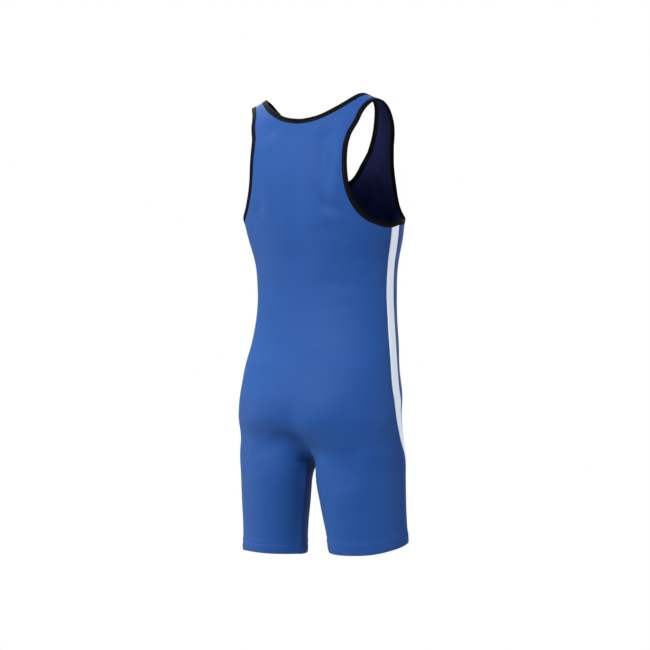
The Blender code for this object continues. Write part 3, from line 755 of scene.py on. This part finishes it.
def leg_turn(p):
    """Turn round the leg's middle, for points whose x is signed."""
    x, y, z = np.abs(p[:, 0]), p[:, 1], p[:, 2]
    return np.arctan2(x - thigh("centre_x", z), y - thigh("centre_y", z))


def above_hem(p, side):
    return p[:, 2] - hem_height(leg_turn(p), side)


def leg_along(p):
    return 66.0 * leg_turn(p)


def new_mesh(name, verts, faces, uv=None, slots=(), indices=None):
    mesh = bpy.data.meshes.new(name)
    mesh.from_pydata([tuple(v) for v in verts], [], [tuple(int(i) for i in f) for f in faces])
    mesh.update()
    if uv is not None:
        layer = mesh.uv_layers.new(name="weave")
        loops = np.zeros(len(mesh.loops), np.int32)
        mesh.loops.foreach_get("vertex_index", loops)
        layer.data.foreach_set("uv", np.asarray(uv, np.float32)[loops].ravel())
    for mat in slots:
        mesh.materials.append(mat)
    if indices is not None:
        mesh.polygons.foreach_set("material_index", np.asarray(indices, np.int32))
    mesh.shade_smooth()
    obj = bpy.data.objects.new(name, mesh)
    bpy.context.scene.collection.objects.link(obj)
    return obj


def faces_out(verts, faces, normal):
    """Faces turned so that they look along the normals given at their corners."""
    a, b, c = (verts[faces[:, i]] for i in range(3))
    look = np.sum(np.cross(b - a, c - a) * normal[faces].mean(1), axis=1)
    faces = faces.copy()
    faces[look < 0] = faces[look < 0][:, ::-1]
    return faces


def thicken(obj, thick, inner=0):
    wall = obj.modifiers.new("cloth", "SOLIDIFY")
    wall.thickness = thick / 1000
    wall.offset = 0.0
    wall.use_even_offset = False
    wall.material_offset = inner
    wall.material_offset_rim = 0
    return obj


SEAM_LINES = {}


def panel_surface(front):
    """Both halves of a panel: points, normals, faces, and weave coordinates."""
    where, faces, edges = panel_mesh(front)
    s, run = where[:, 0], where[:, 1]
    middle = (s < 1e-6) & (run > 1e-3)
    half = []
    for side, sign in (("left", 1.0), ("right", -1.0)):
        p = panel_point(front, s, run, side)
        p[:, 0] *= sign
        n = signed_normals(p)
        lines = {k: panel_point(front, e[:, 0], e[:, 1], side) * [sign, 1, 1] for k, e in edges.items()}
        lines["side"] = np.concatenate([lines["arm"][-1:], lines["side"]])
        SEAM_LINES[(front, side)] = lines
        bound = np.minimum(nearest(lines["neck"], p)[0], nearest(lines["arm"], p)[0])
        lift = form_relief(p, n, edge_share(bound))
        for name in ("side", "seam"):
            d, _ = nearest(lines[name], p)
            lift = lift + seam_relief(d)
        lift = lift + inseam_ridge(d, front)
        d, _ = nearest(lines["shoulder"], p)
        lift = lift + 0.6 * seam_relief(d)
        for name in ("neck", "arm"):
            d, i = nearest(lines[name], p)
            lift = lift + bound_relief(d, i * EDGE)
        low = p[:, 2] < -120
        lift[low] += hem_relief(above_hem(p[low], side), leg_along(p[low]))
        p = p + n * lift[:, None]
        grid = lengths_across(front, side)
        u = read_grid(*grid, run, np.clip(s, 0, 1)) * sign
        half.append((p, n, np.stack([u, run], 1)))
    count = len(s)
    p = np.concatenate([half[0][0], half[1][0]])
    n = np.concatenate([half[0][1], half[1][1]])
    uv = np.concatenate([half[0][2], half[1][2]])
    number = np.concatenate([np.arange(count), np.where(middle, np.arange(count), np.arange(count) + count)])
    p[:count][middle, 0] = 0.0
    faces = np.concatenate([number[:count][faces], number[count:][faces]])
    used, faces = np.unique(faces, return_inverse=True)
    faces = faces.reshape(-1, 3)
    return p[used], n[used], faces_out(p[used], faces, n[used]), uv[used]


def panel_object(name, front, mats):
    p, n, faces, uv = panel_surface(front)
    obj = new_mesh(name, world(p), faces, uv / 1000, mats)
    return thicken(obj, CLOTH_THICK, 1)


def band_surface(side, sign, columns=13):
    """The side band: rows along it, from the back panel's edge to the front panel's."""
    top_b, top_f = BACK_ARMHOLE[0][0], FRONT_ARMHOLE[0][0]
    count = int(round((top_f + LEG_LENGTH) / 3.2))
    ks = np.array([0, 0.05, 0.12, 0.2, 0.3, 0.4, 0.5, 0.6, 0.7, 0.8, 0.88, 0.95, 1.0])
    pts, uv = [], []
    for k in ks:
        runs = np.linspace(top_b + (top_f - top_b) * k, -LEG_LENGTH, count)
        runs = np.unique(np.concatenate([runs, -LEG_LENGTH + np.array([0.6, 1.3, 2.2])]))[::-1]
        q = side_point(runs, np.full(len(runs), k), side) * [sign, 1, 1]
        pts.append(q)
        uv.append(np.stack([np.full(len(runs), k * BAND_WIDE), runs], 1))
    grid = np.array(pts)
    p = grid.reshape(-1, 3)
    n = signed_normals(p)
    lift = form_relief(p, n, edge_share(nearest(spaced(grid[:, 0], 1.5), p)[0]))
    for edge in (grid[0], grid[-1]):
        d, _ = nearest(spaced(edge, 1.5), p)
        lift = lift + seam_relief(d)
    low = p[:, 2] < -120
    lift[low] += hem_relief(above_hem(p[low], side), leg_along(p[low]))
    d = np.abs(p[:, 2] - p[:, 2].max())
    p = p + n * lift[:, None]
    rows = grid.shape[1]
    faces = []
    for a in range(len(ks) - 1):
        for i in range(rows - 1):
            q = (a * rows + i, a * rows + i + 1, (a + 1) * rows + i + 1, (a + 1) * rows + i)
            faces += [(q[0], q[1], q[2]), (q[0], q[2], q[3])]
    faces = faces_out(p, np.array(faces), n)
    return p, n, faces, np.concatenate(uv), grid


def armhole_path(side, step):
    back = on_panel(False, BACK_ARMHOLE, 1.0, step)[::-1]
    front = on_panel(True, FRONT_ARMHOLE, 1.0, step)
    a = panel_point(False, back[:, 0], back[:, 1], side)
    c = panel_point(True, front[:, 0], front[:, 1], side)
    k = np.linspace(0, 1, 10)[1:-1]
    b = side_point(BACK_ARMHOLE[0][0] + (FRONT_ARMHOLE[0][0] - BACK_ARMHOLE[0][0]) * k, k, side)
    return np.concatenate([a, b, c[:-1]])


def neck_path(step):
    back = on_panel(False, BACK_NECK, 0.0, step)
    front = on_panel(True, FRONT_NECK, 0.0, step)
    halves = []
    for side in ("left", "right"):
        a = panel_point(False, back[:, 0], back[:, 1], side)
        c = panel_point(True, front[:, 0], front[:, 1], side)[::-1]
        halves.append(np.concatenate([a, c[1:]]))
    return np.concatenate([halves[0], halves[1][1:-1][::-1] * [-1, 1, 1]])


def closed_smooth(line, rounds):
    for _ in range(rounds):
        line = 0.5 * line + 0.25 * (np.roll(line, 1, axis=0) + np.roll(line, -1, axis=0))
    return line


# A binding's section: reach out from the cut edge, and height over the cloth's middle.
BINDING_COLUMNS = ("reach", "height")
BINDING_SECTION = (
    (-1.5, 0.62), (-1.2, 1.02), (-0.5, 1.22), (0.6, 1.20), (1.5, 1.02), (2.3, 1.06), (3.6, 1.30),
    (5.2, 1.40), (6.6, 1.24), (7.6, 0.82), (8.1, 0.30), (8.2, 0.0),
)


def binding_frames(path, hollow, sign):
    """Path, outward direction across the strip, normal and distance along a bound edge."""
    path = path * [sign, 1, 1]
    hollow = hollow * np.array([sign, 1, 1])
    n = signed_normals(path)
    path = path + n * form_relief(path, n, edge_share(0.0))[:, None]
    tangent = closed_smooth(np.roll(path, -1, axis=0) - np.roll(path, 1, axis=0), 2)
    tangent /= np.linalg.norm(tangent, axis=1, keepdims=True)
    out = np.cross(tangent, n)
    out /= np.linalg.norm(out, axis=1, keepdims=True)
    if np.sum((hollow - path) * out) < 0:
        out = -out
    step = np.linalg.norm(np.roll(path, -1, axis=0) - path, axis=1)
    along = np.concatenate([[0], np.cumsum(step)[:-1]])
    return path, out, n, along


def binding_object(name, path, hollow, mats, sign=1.0):
    path, out, n, along = binding_frames(path, hollow, sign)
    top = list(BINDING_SECTION)
    section = top + [(r, -h) for r, h in top[-2::-1]]
    m, count = len(section), len(path)
    verts, uv = [], []
    v = 0.0
    for j, (reach, height) in enumerate(section):
        if j:
            v += math.hypot(reach - section[j - 1][0], height - section[j - 1][1])
        pull = 1 + 0.05 * np.sin(along / 2.1 + 2.0 * np.sin(along / 29.0))
        verts.append(path + out * reach + n * (height * pull)[:, None])
        uv.append(np.stack([along, np.full(count, v)], 1))
    p = np.stack(verts, 1).reshape(-1, 3)
    faces = []
    for i in range(count):
        for j in range(m):
            a, b = i * m + j, i * m + (j + 1) % m
            c, d = ((i + 1) % count) * m + (j + 1) % m, ((i + 1) % count) * m + j
            faces.append((a, b, c, d))
    obj = new_mesh(name, world(p), faces, np.stack(uv, 1).reshape(-1, 2) / 1000, mats)
    bm = bmesh.new()
    bm.from_mesh(obj.data)
    bmesh.ops.recalc_face_normals(bm, faces=bm.faces)
    bm.to_mesh(obj.data)
    bm.free()
    return obj, (path, out, n, along)


def stitch_row(name, line, up, mats, long=2.3, gap=0.9, wide=0.42, closed=False, sway=0.0):
    """A row of separate stitches on a line; up points out of the cloth there."""
    d = np.linalg.norm(np.diff(line, axis=0), axis=1)
    if closed:
        line = np.concatenate([line, line[:1]])
        up = np.concatenate([up, up[:1]])
        d = np.linalg.norm(np.diff(line, axis=0), axis=1)
    at = np.concatenate([[0], np.cumsum(d)])
    count = int(at[-1] / (long + gap))
    pitch = at[-1] / count
    centre = (np.arange(count) + 0.5) * pitch

    def read(rows, t):
        return np.stack([np.interp(t, at, rows[:, k]) for k in range(3)], 1)

    half = 0.5 * (pitch - gap)
    mid, nose, tail = read(line, centre), read(line, centre + half), read(line, centre - half)
    axis = nose - tail
    axis /= np.linalg.norm(axis, axis=1, keepdims=True) + 1e-9
    lift = read(up, centre)
    lift /= np.linalg.norm(lift, axis=1, keepdims=True) + 1e-9
    cross = np.cross(axis, lift)
    ring = 6
    shares = ((-1.0, 0.35, -0.30), (-0.55, 0.95, 0.05), (0.0, 1.0, 0.12), (0.55, 0.95, 0.05), (1.0, 0.35, -0.30))
    turns = np.arange(ring) * 2 * math.pi / ring
    verts = []
    for share, girth, rise in shares:
        c = mid + axis * (share * half)
        for a in turns:
            verts.append(c + (cross * math.cos(a) * wide * 0.62 * girth
                              + lift * (math.sin(a) * wide * 0.5 * girth + rise * wide)))
    per = len(shares) * ring
    p = np.stack(verts, 1).reshape(-1, 3)
    faces = []
    unit = []
    for r in range(len(shares) - 1):
        for a in range(ring):
            b = (a + 1) % ring
            unit.append((r * ring + a, r * ring + b, (r + 1) * ring + b, (r + 1) * ring + a))
    caps = [tuple(range(ring))[::-1], tuple(range((len(shares) - 1) * ring, len(shares) * ring))]
    for i in range(count):
        base = i * per
        faces += [tuple(base + k for k in f) for f in unit + caps]
    return new_mesh(name, world(p), faces, None, mats)


def tube(name, path, wide, mats, sides=5, closed=False):
    """A thread that runs along a path of close points."""
    tangent = np.gradient(path, axis=0)
    if closed:
        tangent = np.roll(path, -1, axis=0) - np.roll(path, 1, axis=0)
    tangent /= np.linalg.norm(tangent, axis=1, keepdims=True) + 1e-9
    ref = signed_normals(path)
    a = np.cross(tangent, ref)
    a /= np.linalg.norm(a, axis=1, keepdims=True) + 1e-9
    b = np.cross(a, tangent)
    turns = np.arange(sides) * 2 * math.pi / sides
    p = np.stack([path + (a * math.cos(t) + b * math.sin(t)) * wide / 2 for t in turns], 1).reshape(-1, 3)
    faces = []
    last = len(path) if closed else len(path) - 1
    for i in range(last):
        j = (i + 1) % len(path)
        for k in range(sides):
            m = (k + 1) % sides
            faces.append((i * sides + k, i * sides + m, j * sides + m, j * sides + k))
    if not closed:
        faces += [tuple(range(sides))[::-1], tuple(range((len(path) - 1) * sides, len(path) * sides))]
    return new_mesh(name, world(p), faces, None, mats)


# ---------------------------------------------------------------- materials
def shader(name, colour, rough, sheen=0.0, sheen_rough=0.4, tint=(1, 1, 1), specular=0.35):
    mat = bpy.data.materials.new(name)
    mat.use_nodes = True
    tree = mat.node_tree
    node = tree.nodes["Principled BSDF"]
    node.inputs["Base Color"].default_value = (*colour, 1)
    node.inputs["Roughness"].default_value = rough
    node.inputs["Specular IOR Level"].default_value = specular
    node.inputs["Sheen Weight"].default_value = sheen
    node.inputs["Sheen Roughness"].default_value = sheen_rough
    node.inputs["Sheen Tint"].default_value = (*tint, 1)
    return mat, tree, node


def maths(tree, kind, a, b=None, c=None, clamp=False):
    node = tree.nodes.new("ShaderNodeMath")
    node.operation = kind
    node.use_clamp = clamp
    for i, v in enumerate((a, b, c)):
        if v is None:
            continue
        if isinstance(v, (int, float)):
            node.inputs[i].default_value = v
        else:
            tree.links.new(v, node.inputs[i])
    return node.outputs[0]


def mix(tree, share, low, high):
    node = tree.nodes.new("ShaderNodeMix")
    node.data_type = "RGBA"
    if isinstance(share, (int, float)):
        node.inputs[0].default_value = share
    else:
        tree.links.new(share, node.inputs[0])
    for slot_, v in ((6, low), (7, high)):
        if isinstance(v, tuple):
            node.inputs[slot_].default_value = (*v, 1)
        else:
            tree.links.new(v, node.inputs[slot_])
    return node.outputs[2]


def noise(tree, vector, scale, detail=2.0, rough=0.5):
    node = tree.nodes.new("ShaderNodeTexNoise")
    node.inputs["Scale"].default_value = scale
    node.inputs["Detail"].default_value = detail
    node.inputs["Roughness"].default_value = rough
    tree.links.new(vector, node.inputs["Vector"])
    return node.outputs["Fac"]


def knit(name, colour, deep, pale, wale=1.05, course=0.82, rough=0.6, sheen=0.2,
         sheen_rough=0.4, tint=(1, 1, 1), bump=0.5, specular=0.3, mottle=0.5, tilt=1.15):
    """Fine knit: columns of V-shaped loops, in millimetres of the weave's coordinates."""
    mat, tree, node = shader(name, colour, rough, sheen, sheen_rough, tint, specular)
    uv = tree.nodes.new("ShaderNodeUVMap")
    uv.uv_map = "weave"
    place = tree.nodes.new("ShaderNodeTexCoord").outputs["Object"]
    parts = tree.nodes.new("ShaderNodeSeparateXYZ")
    tree.links.new(uv.outputs["UV"], parts.inputs[0])
    a = maths(tree, "MULTIPLY", parts.outputs[0], 1000 / wale)
    b = maths(tree, "MULTIPLY", parts.outputs[1], 1000 / course)
    off = maths(tree, "ABSOLUTE", maths(tree, "SUBTRACT", maths(tree, "FRACT", a), 0.5))
    phase = maths(tree, "MULTIPLY_ADD", off, tilt, b)
    loop = maths(tree, "MULTIPLY_ADD", maths(tree, "COSINE", maths(tree, "MULTIPLY", phase, 2 * math.pi)), 0.5, 0.5)
    leg = maths(tree, "SINE", maths(tree, "MULTIPLY", off, 2 * math.pi))
    height = maths(tree, "MULTIPLY", maths(tree, "MULTIPLY_ADD", loop, 0.55, 0.45),
                   maths(tree, "MULTIPLY_ADD", leg, 0.75, 0.25))
    yarn = noise(tree, place, 900.0, 1.0)
    height = maths(tree, "MULTIPLY_ADD", yarn, 0.25, height)
    broad = noise(tree, place, 9.0, 3.0)
    fine = noise(tree, place, 120.0, 2.0)
    tone = maths(tree, "ADD", maths(tree, "MULTIPLY", broad, 0.6), maths(tree, "MULTIPLY", fine, 0.4))
    tone = maths(tree, "MULTIPLY_ADD", maths(tree, "SUBTRACT", tone, 0.5), mottle, 0.5, True)
    body = mix(tree, tone, deep, pale)
    # Painted shade: the colour darkens to 0.86 of itself at the low places of the loops, where the bump sinks.
    body = mix(tree, maths(tree, "MULTIPLY_ADD", height, 0.5, 0.25, True),
               tuple(c * 0.86 for c in colour), body)
    tree.links.new(body, node.inputs["Base Color"])
    bumps = tree.nodes.new("ShaderNodeBump")
    bumps.inputs["Strength"].default_value = bump
    bumps.inputs["Distance"].default_value = 0.00016
    tree.links.new(height, bumps.inputs["Height"])
    tree.links.new(bumps.outputs["Normal"], node.inputs["Normal"])
    return mat


def thread(name, colour, rough=0.5, sheen=0.1):
    """Sewing thread: two plies, seen as fine slanting lines."""
    mat, tree, node = shader(name, colour, rough, sheen)
    place = tree.nodes.new("ShaderNodeTexCoord").outputs["Object"]
    wave = tree.nodes.new("ShaderNodeTexWave")
    wave.wave_type, wave.bands_direction = "BANDS", "DIAGONAL"
    wave.inputs["Scale"].default_value = 900.0
    wave.inputs["Distortion"].default_value = 1.0
    tree.links.new(place, wave.inputs["Vector"])
    # Painted shade and highlight: the colour is darker on the low bands and lighter on the raised ones, the same
    # bands that the bump raises.
    body = mix(tree, wave.outputs["Fac"], tuple(c * 0.8 for c in colour), tuple(min(1, c * 1.2) for c in colour))
    tree.links.new(body, node.inputs["Base Color"])
    bumps = tree.nodes.new("ShaderNodeBump")
    bumps.inputs["Strength"].default_value = 0.3
    bumps.inputs["Distance"].default_value = 0.0001
    tree.links.new(wave.outputs["Fac"], bumps.inputs["Height"])
    tree.links.new(bumps.outputs["Normal"], node.inputs["Normal"])
    return mat


BLUE = (0.0108, 0.0575, 0.2230)
blue_knit = knit("blue_knit", BLUE, (0.0092, 0.0530, 0.2090), (0.0126, 0.0625, 0.2380), rough=0.62,
                 sheen=0.05, sheen_rough=0.5, tint=(0.5, 0.9, 1.0), specular=0.15)
# Inner face of the blue cloth: the knit's reverse, with flat courses, in a dark navy that is painted shade of the
# garment's inside.
blue_inside_painted_shade = knit("blue_knit_inside_painted_shade", (0.0098, 0.0115, 0.0640), (0.0076, 0.0088, 0.0490),
                    (0.0125, 0.0150, 0.0820), wale=1.05, course=0.6, rough=0.72, sheen=0.02,
                    tint=(0.5, 0.6, 1.0), bump=0.35, specular=0.12, tilt=0.0)
white_knit = knit("white_knit", (0.985, 0.965, 0.945), (0.965, 0.945, 0.925), (0.99, 0.975, 0.96), rough=0.6,
                  sheen=0.1, bump=0.45)
# Inner face of the side bands: the knit's reverse, with flat courses, in a grey that is painted shade of the
# garment's inside.
white_inside_painted_shade = knit("white_knit_inside_painted_shade", (0.50, 0.51, 0.54), (0.46, 0.47, 0.51), (0.54, 0.55, 0.58),
                     course=0.6, rough=0.75, sheen=0.05, bump=0.35, tilt=0.0)
black_binding = knit("black_binding", (0.0026, 0.0023, 0.0026), (0.0020, 0.0018, 0.0020),
                     (0.0036, 0.0031, 0.0032), wale=0.8, course=0.9, rough=0.66, sheen=0.0,
                     sheen_rough=0.5, tint=(1.0, 0.9, 0.8), bump=0.6, specular=0.035)
blue_thread = thread("blue_thread", (0.040, 0.135, 0.43))
black_thread = thread("black_thread", (0.006, 0.006, 0.0065), 0.45)
white_thread = thread("white_thread", (0.80, 0.81, 0.84))

# ---------------------------------------------------------------- the garment
back_cloth = panel_object("back_cloth", False, [blue_knit, blue_inside_painted_shade])
front_cloth = panel_object("front_cloth", True, [blue_knit, blue_inside_painted_shade])
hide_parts("back_panel")
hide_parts("front_panel")

pieces = {"blue_knit": [back_cloth, front_cloth], "white_knit": [], "black_binding": []}
on_piece = {back_cloth.name: [], front_cloth.name: []}
bands, edges_done = {}, {}
for side, sign in (("left", 1.0), ("right", -1.0)):
    p, n, faces, uv, grid = band_surface(side, sign)
    band = new_mesh("band_cloth_" + side, world(p), faces, uv / 1000, [white_knit, white_inside_painted_shade])
    thicken(band, CLOTH_THICK, 1)
    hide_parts("side_band_" + side)
    bands[side] = band
    pieces["white_knit"].append(band)

HOLLOW_ARM = np.array([150.0, 20.0, 530.0])
HOLLOW_NECK = np.array([0.0, 20.0, 650.0])
binding, frames = {}, {}
binding["neck"], frames["neck"] = binding_object("neck_edge", neck_path(3.4), HOLLOW_NECK, [black_binding])
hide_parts("neck_binding")
for side, sign in (("left", 1.0), ("right", -1.0)):
    name = "armhole_" + side
    binding[name], frames[name] = binding_object(name + "_edge", armhole_path(side, 3.4), HOLLOW_ARM,
                                                 [black_binding], sign)
    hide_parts("armhole_binding_" + side)
pieces["black_binding"] += list(binding.values())

for name, (path, out, n, along) in frames.items():
    rows = []
    for face in (1.0, -1.0):
        rows.append(stitch_row(f"{name}_stitches_{'out' if face > 0 else 'in'}",
                               path + out * 1.5 + n * (face * 1.10), n * face, [black_thread],
                               2.4, 0.9, 0.40, True))
    pieces["black_binding"] += rows


# rows of stitches beside the seams and round the hems
def cloth_point(q, side, up=None, front=None):
    """Moves points of the figure (x signed) out onto the cloth, with its relief."""
    n = signed_normals(q)
    share = 1.0
    if front is not None:
        lines = SEAM_LINES[(front, side)]
        share = edge_share(np.minimum(nearest(lines["neck"], q)[0], nearest(lines["arm"], q)[0]))
    lift = form_relief(q, n, share)
    if up is not None:
        lift = lift + hem_relief(up, leg_along(q))
    return q + n * lift[:, None], n


def beside_seam(front, side, sign, low, high, far, name, mats):
    """A row of stitches on a panel, a little away from the seam of its side band."""
    runs = even(low, high, 3.0)
    rows, s, table = lengths_across(front, side)
    width = np.interp(runs, rows, table[:, -1])
    q = panel_point(front, 1 - far / width, runs, side) * [sign, 1, 1]
    up = above_hem(q, side)
    p, n = cloth_point(q, side, np.where(q[:, 2] < -110, up, 400.0), front)
    p = p + n * (seam_relief(np.array([far]))[0] + CLOTH_THICK / 2 + 0.06)
    return stitch_row(name, p, n, mats, 2.3, 1.0, 0.38)


def inseam_row(front, side, sign, far, name, mats):
    runs = even(-LEG_LENGTH + 26.0, -4.0, 3.0)
    rows, s, table = lengths_across(front, side)
    width = np.interp(runs, rows, table[:, -1])
    q = panel_point(front, far / width, runs, side) * [sign, 1, 1]
    p, n = cloth_point(q, side)
    p = p + n * (seam_relief(np.array([far]))[0] + inseam_ridge(far, front) + CLOTH_THICK / 2 + 0.06)
    return stitch_row(name, p, n, mats, 2.3, 1.0, 0.38)


def shoulder_row(side, sign, far, name, mats):
    run = YOKE_LEVEL + YOKE_RUN - far
    lo, hi = across(False, [run, run], [BACK_NECK[-1][1] + 2, BACK_ARMHOLE[-1][1] - 2])
    s = even(lo, hi, 2.5 / PANEL_SPAN)
    q = panel_point(False, s, np.full(len(s), run), side) * [sign, 1, 1]
    p, n = cloth_point(q, side, None, False)
    p = p + n * (0.6 * seam_relief(np.array([far]))[0] + CLOTH_THICK / 2 + 0.06)
    return stitch_row(name, p, n, mats, 2.2, 0.9, 0.38)


for side, sign in (("left", 1.0), ("right", -1.0)):
    for front in (False, True):
        face = "front" if front else "back"
        top = (FRONT_ARMHOLE if front else BACK_ARMHOLE)[0][0] - 9.0
        row = beside_seam(front, side, sign, -LEG_LENGTH + 25.0, top, 2.1,
                          f"{face}_seam_stitches_{side}", [blue_thread])
        on_piece[(front_cloth if front else back_cloth).name].append(row)
    row = inseam_row(False, side, sign, 2.1, f"inseam_stitches_{side}", [blue_thread])
    on_piece[back_cloth.name].append(row)
    row = shoulder_row(side, sign, 2.3, f"shoulder_stitches_{side}", [blue_thread])
    on_piece[back_cloth.name].append(row)

# the turned-up hems: a section that is carried round each leg
TURN_UP_COLUMNS = ("up", "height")
TURN_UP = (
    (HEM_TURN, -1.50), (HEM_ROWS[1], -1.52), (18.5, -1.44), (HEM_ROWS[0], -1.50), (11.0, -1.42),
    (6.0, -1.42), (2.4, -1.42), (0.8, -1.30), (0.05, -0.95), (-0.20, -0.45), (0.0, 0.05), (0.6, 0.40),
    (1.3, 0.50), (1.5, 0.10), (1.9, -0.60), (6.0, -0.66), (11.0, -0.66), (HEM_ROWS[0], -0.66),
    (18.5, -0.66), (HEM_ROWS[1], -0.66), (HEM_TURN, -0.66),
)


def leg_ring(side, sign, up, height, turns):
    """Points round a leg, up above its hem and height out from the cloth's middle."""
    z = hem_height(turns, side) + up
    q = level_ray(thigh("centre_x", z), thigh("centre_y", z), z, turns) * [sign, 1, 1]
    p, n = cloth_point(q, side, np.full(len(turns), max(up, 0.0)))
    off = (turns - INSEAM_TURN + math.pi) % (2 * math.pi) - math.pi
    return p + n * (height + inseam_ridge(66.0 * np.abs(off), off < 0))[:, None], n


def hem_ring(side, sign):
    count = 150
    turns = np.linspace(0, 2 * math.pi, count, endpoint=False)
    level = -LEG_LENGTH + 5
    band_from, band_to = side_turn(0.0, level), side_turn(1.0, level)
    for edge in (band_from, band_to):
        turns[np.argmin(np.abs(turns - edge))] = edge
    rings = [leg_ring(side, sign, up, height, turns)[0] for up, height in TURN_UP]
    p = np.stack(rings, 1).reshape(-1, 3)
    m = len(TURN_UP)
    faces, colour, uv = [], [], []
    lengths = np.concatenate([[0], np.cumsum([math.hypot(a[0] - b[0], a[1] - b[1])
                                              for a, b in zip(TURN_UP[1:], TURN_UP[:-1])])])
    for i in range(count):
        for j in range(m):
            k, q = (i + 1) % count, (j + 1) % m
            faces.append((i * m + j, i * m + q, k * m + q, k * m + j))
            mid = 0.5 * (turns[i] + (turns[k] if k else 2 * math.pi))
            colour.append(1 if band_from < mid < band_to else 0)
    uv = np.stack([np.repeat(turns * 66.0, m), np.tile(lengths, count)], 1) / 1000
    obj = new_mesh("hem_turn_up_" + side, world(p), faces, uv, [blue_knit, white_knit], colour)
    bm = bmesh.new()
    bm.from_mesh(obj.data)
    bmesh.ops.recalc_face_normals(bm, faces=bm.faces)
    bm.to_mesh(obj.data)
    bm.free()
    return obj


for side, sign in (("left", 1.0), ("right", -1.0)):
    parts = [hem_ring(side, sign)]
    turns = np.linspace(0, 2 * math.pi, 300, endpoint=False)
    for i, up in enumerate(HEM_ROWS):
        p, n = leg_ring(side, sign, up, CLOTH_THICK / 2 + 0.05, turns)
        parts.append(stitch_row(f"hem_stitches_{side}_{i + 1}", p, n, [blue_thread], 2.6, 0.7, 0.46, True))
    # the looping thread behind the two rows
    count = 262
    turns = np.linspace(0, 2 * math.pi, count, endpoint=False)
    low, _ = leg_ring(side, sign, HEM_ROWS[0] - 0.4, -1.72, turns)
    high, _ = leg_ring(side, sign, HEM_ROWS[1] + 0.8, -1.72, turns)
    zig = np.where((np.arange(count) % 2 == 0)[:, None], low, high)
    mid = 0.5 * (zig + np.roll(zig, -1, axis=0))
    zig = np.stack([zig, mid], 1).reshape(-1, 3)
    parts.append(tube("hem_looper_" + side, zig, 0.42, [blue_thread], 5, True))
    on_piece[back_cloth.name] += parts

# ---------------------------------------------------------------- riding on the body, and areas of the cloth
for obj in bpy.context.scene.objects:
    if obj.type == "MESH" and "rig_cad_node" not in obj and obj.parent is None:
        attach(obj, "root")


def surface(obj, layers):
    """Area of a piece's own mesh, in square metres, per layer of cloth."""
    obj.data.calc_loop_triangles()
    return sum(t.area for t in obj.data.loop_triangles) / layers


areas = {o.name: surface(o, 1) for o in (back_cloth, front_cloth, bands["left"], bands["right"])}
areas.update({o.name: surface(o, 2) for o in binding.values()})
print("areas", {k: round(v, 4) for k, v in areas.items()})

# ---------------------------------------------------------------- camera, stage and light
scene = bpy.context.scene
cam = bpy.data.cameras.new("camera")
cam.lens, cam.sensor_width = 87.45, 36.0
cam.clip_start, cam.clip_end = 0.05, 60.0
eye = bpy.data.objects.new("camera", cam)
eye.location = (-1.4084, 2.6108, -0.4190)
eye.rotation_euler = Vector((0.46947, -0.88295, 0.0)).to_track_quat("-Z", "Y").to_euler()
scene.collection.objects.link(eye)
scene.camera = eye

FLOOR = -1.45
floor = new_mesh("floor", np.array([(-40, -40, FLOOR), (40, -40, FLOOR), (40, 40, FLOOR), (-40, 40, FLOOR)]),
                 [(0, 1, 2, 3)])
pale, tree, node = shader("pale_floor", (0.40, 0.40, 0.41), 0.9)
shine, ray = tree.nodes.new("ShaderNodeEmission"), tree.nodes.new("ShaderNodeLightPath")
both = tree.nodes.new("ShaderNodeMixShader")
tree.links.new(ray.outputs["Is Camera Ray"], both.inputs[0])
tree.links.new(node.outputs[0], both.inputs[1])
tree.links.new(shine.outputs[0], both.inputs[2])
tree.links.new(both.outputs[0], tree.nodes["Material Output"].inputs["Surface"])
floor.data.materials.append(pale)

sky = bpy.data.worlds.new("studio")
sky.use_nodes = True
tree = sky.node_tree
tree.nodes.clear()
out = tree.nodes.new("ShaderNodeOutputWorld")
seen, lit = tree.nodes.new("ShaderNodeBackground"), tree.nodes.new("ShaderNodeBackground")
seen.inputs["Color"].default_value, seen.inputs["Strength"].default_value = (1, 1, 1, 1), 1.0
lit.inputs["Color"].default_value, lit.inputs["Strength"].default_value = (0.36, 0.66, 1, 1), 0.26
pick, path_ = tree.nodes.new("ShaderNodeMixShader"), tree.nodes.new("ShaderNodeLightPath")
tree.links.new(path_.outputs["Is Camera Ray"], pick.inputs[0])
tree.links.new(lit.outputs[0], pick.inputs[1])
tree.links.new(seen.outputs[0], pick.inputs[2])
tree.links.new(pick.outputs[0], out.inputs["Surface"])
scene.world = sky

MIDDLE = Vector((0.0, 0.0, -0.42))
LEFT, NEAR, UP = Vector((0.883, 0.469, 0)), Vector((-0.469, 0.883, 0)), Vector((0, 0, 1))
LIGHT_COLUMNS = ("name", "turn", "rise", "distance", "size", "watts", "colour")
LIGHTS = (                    # turn in degrees from the camera's side towards its left
    ("key", 36, 29, 3.6, 1.2, 192, (1.0, 1.0, 0.97)),
    ("rim", 104, -6, 2.6, 1.2, 25, (0.98, 0.99, 1.0)),
    ("fill", -78, 2, 3.0, 1.4, 36, (0.94, 0.95, 1.0)),
    ("arm", -30, 24, 2.4, 0.45, 8, (0.66, 0.78, 1.0)),
    ("front", 150, 54, 2.8, 1.4, 76, (1.0, 0.99, 0.98)),
    ("front_low", -158, 10, 3.0, 1.8, 22, (0.95, 0.97, 1.0)),
)
for name, turn, rise, far, size, watts, colour in LIGHTS:
    lamp = bpy.data.lights.new(name, "AREA")
    lamp.shape, lamp.size, lamp.energy, lamp.color = "DISK", size, watts, colour
    obj = bpy.data.objects.new(name, lamp)
    turn, rise = math.radians(turn), math.radians(rise)
    way = (NEAR * math.cos(turn) + LEFT * math.sin(turn)) * math.cos(rise) + UP * math.sin(rise)
    obj.location = MIDDLE + way * far
    obj.rotation_euler = (-way).to_track_quat("-Z", "Y").to_euler()
    scene.collection.objects.link(obj)
scene.view_settings.view_transform = "Standard"
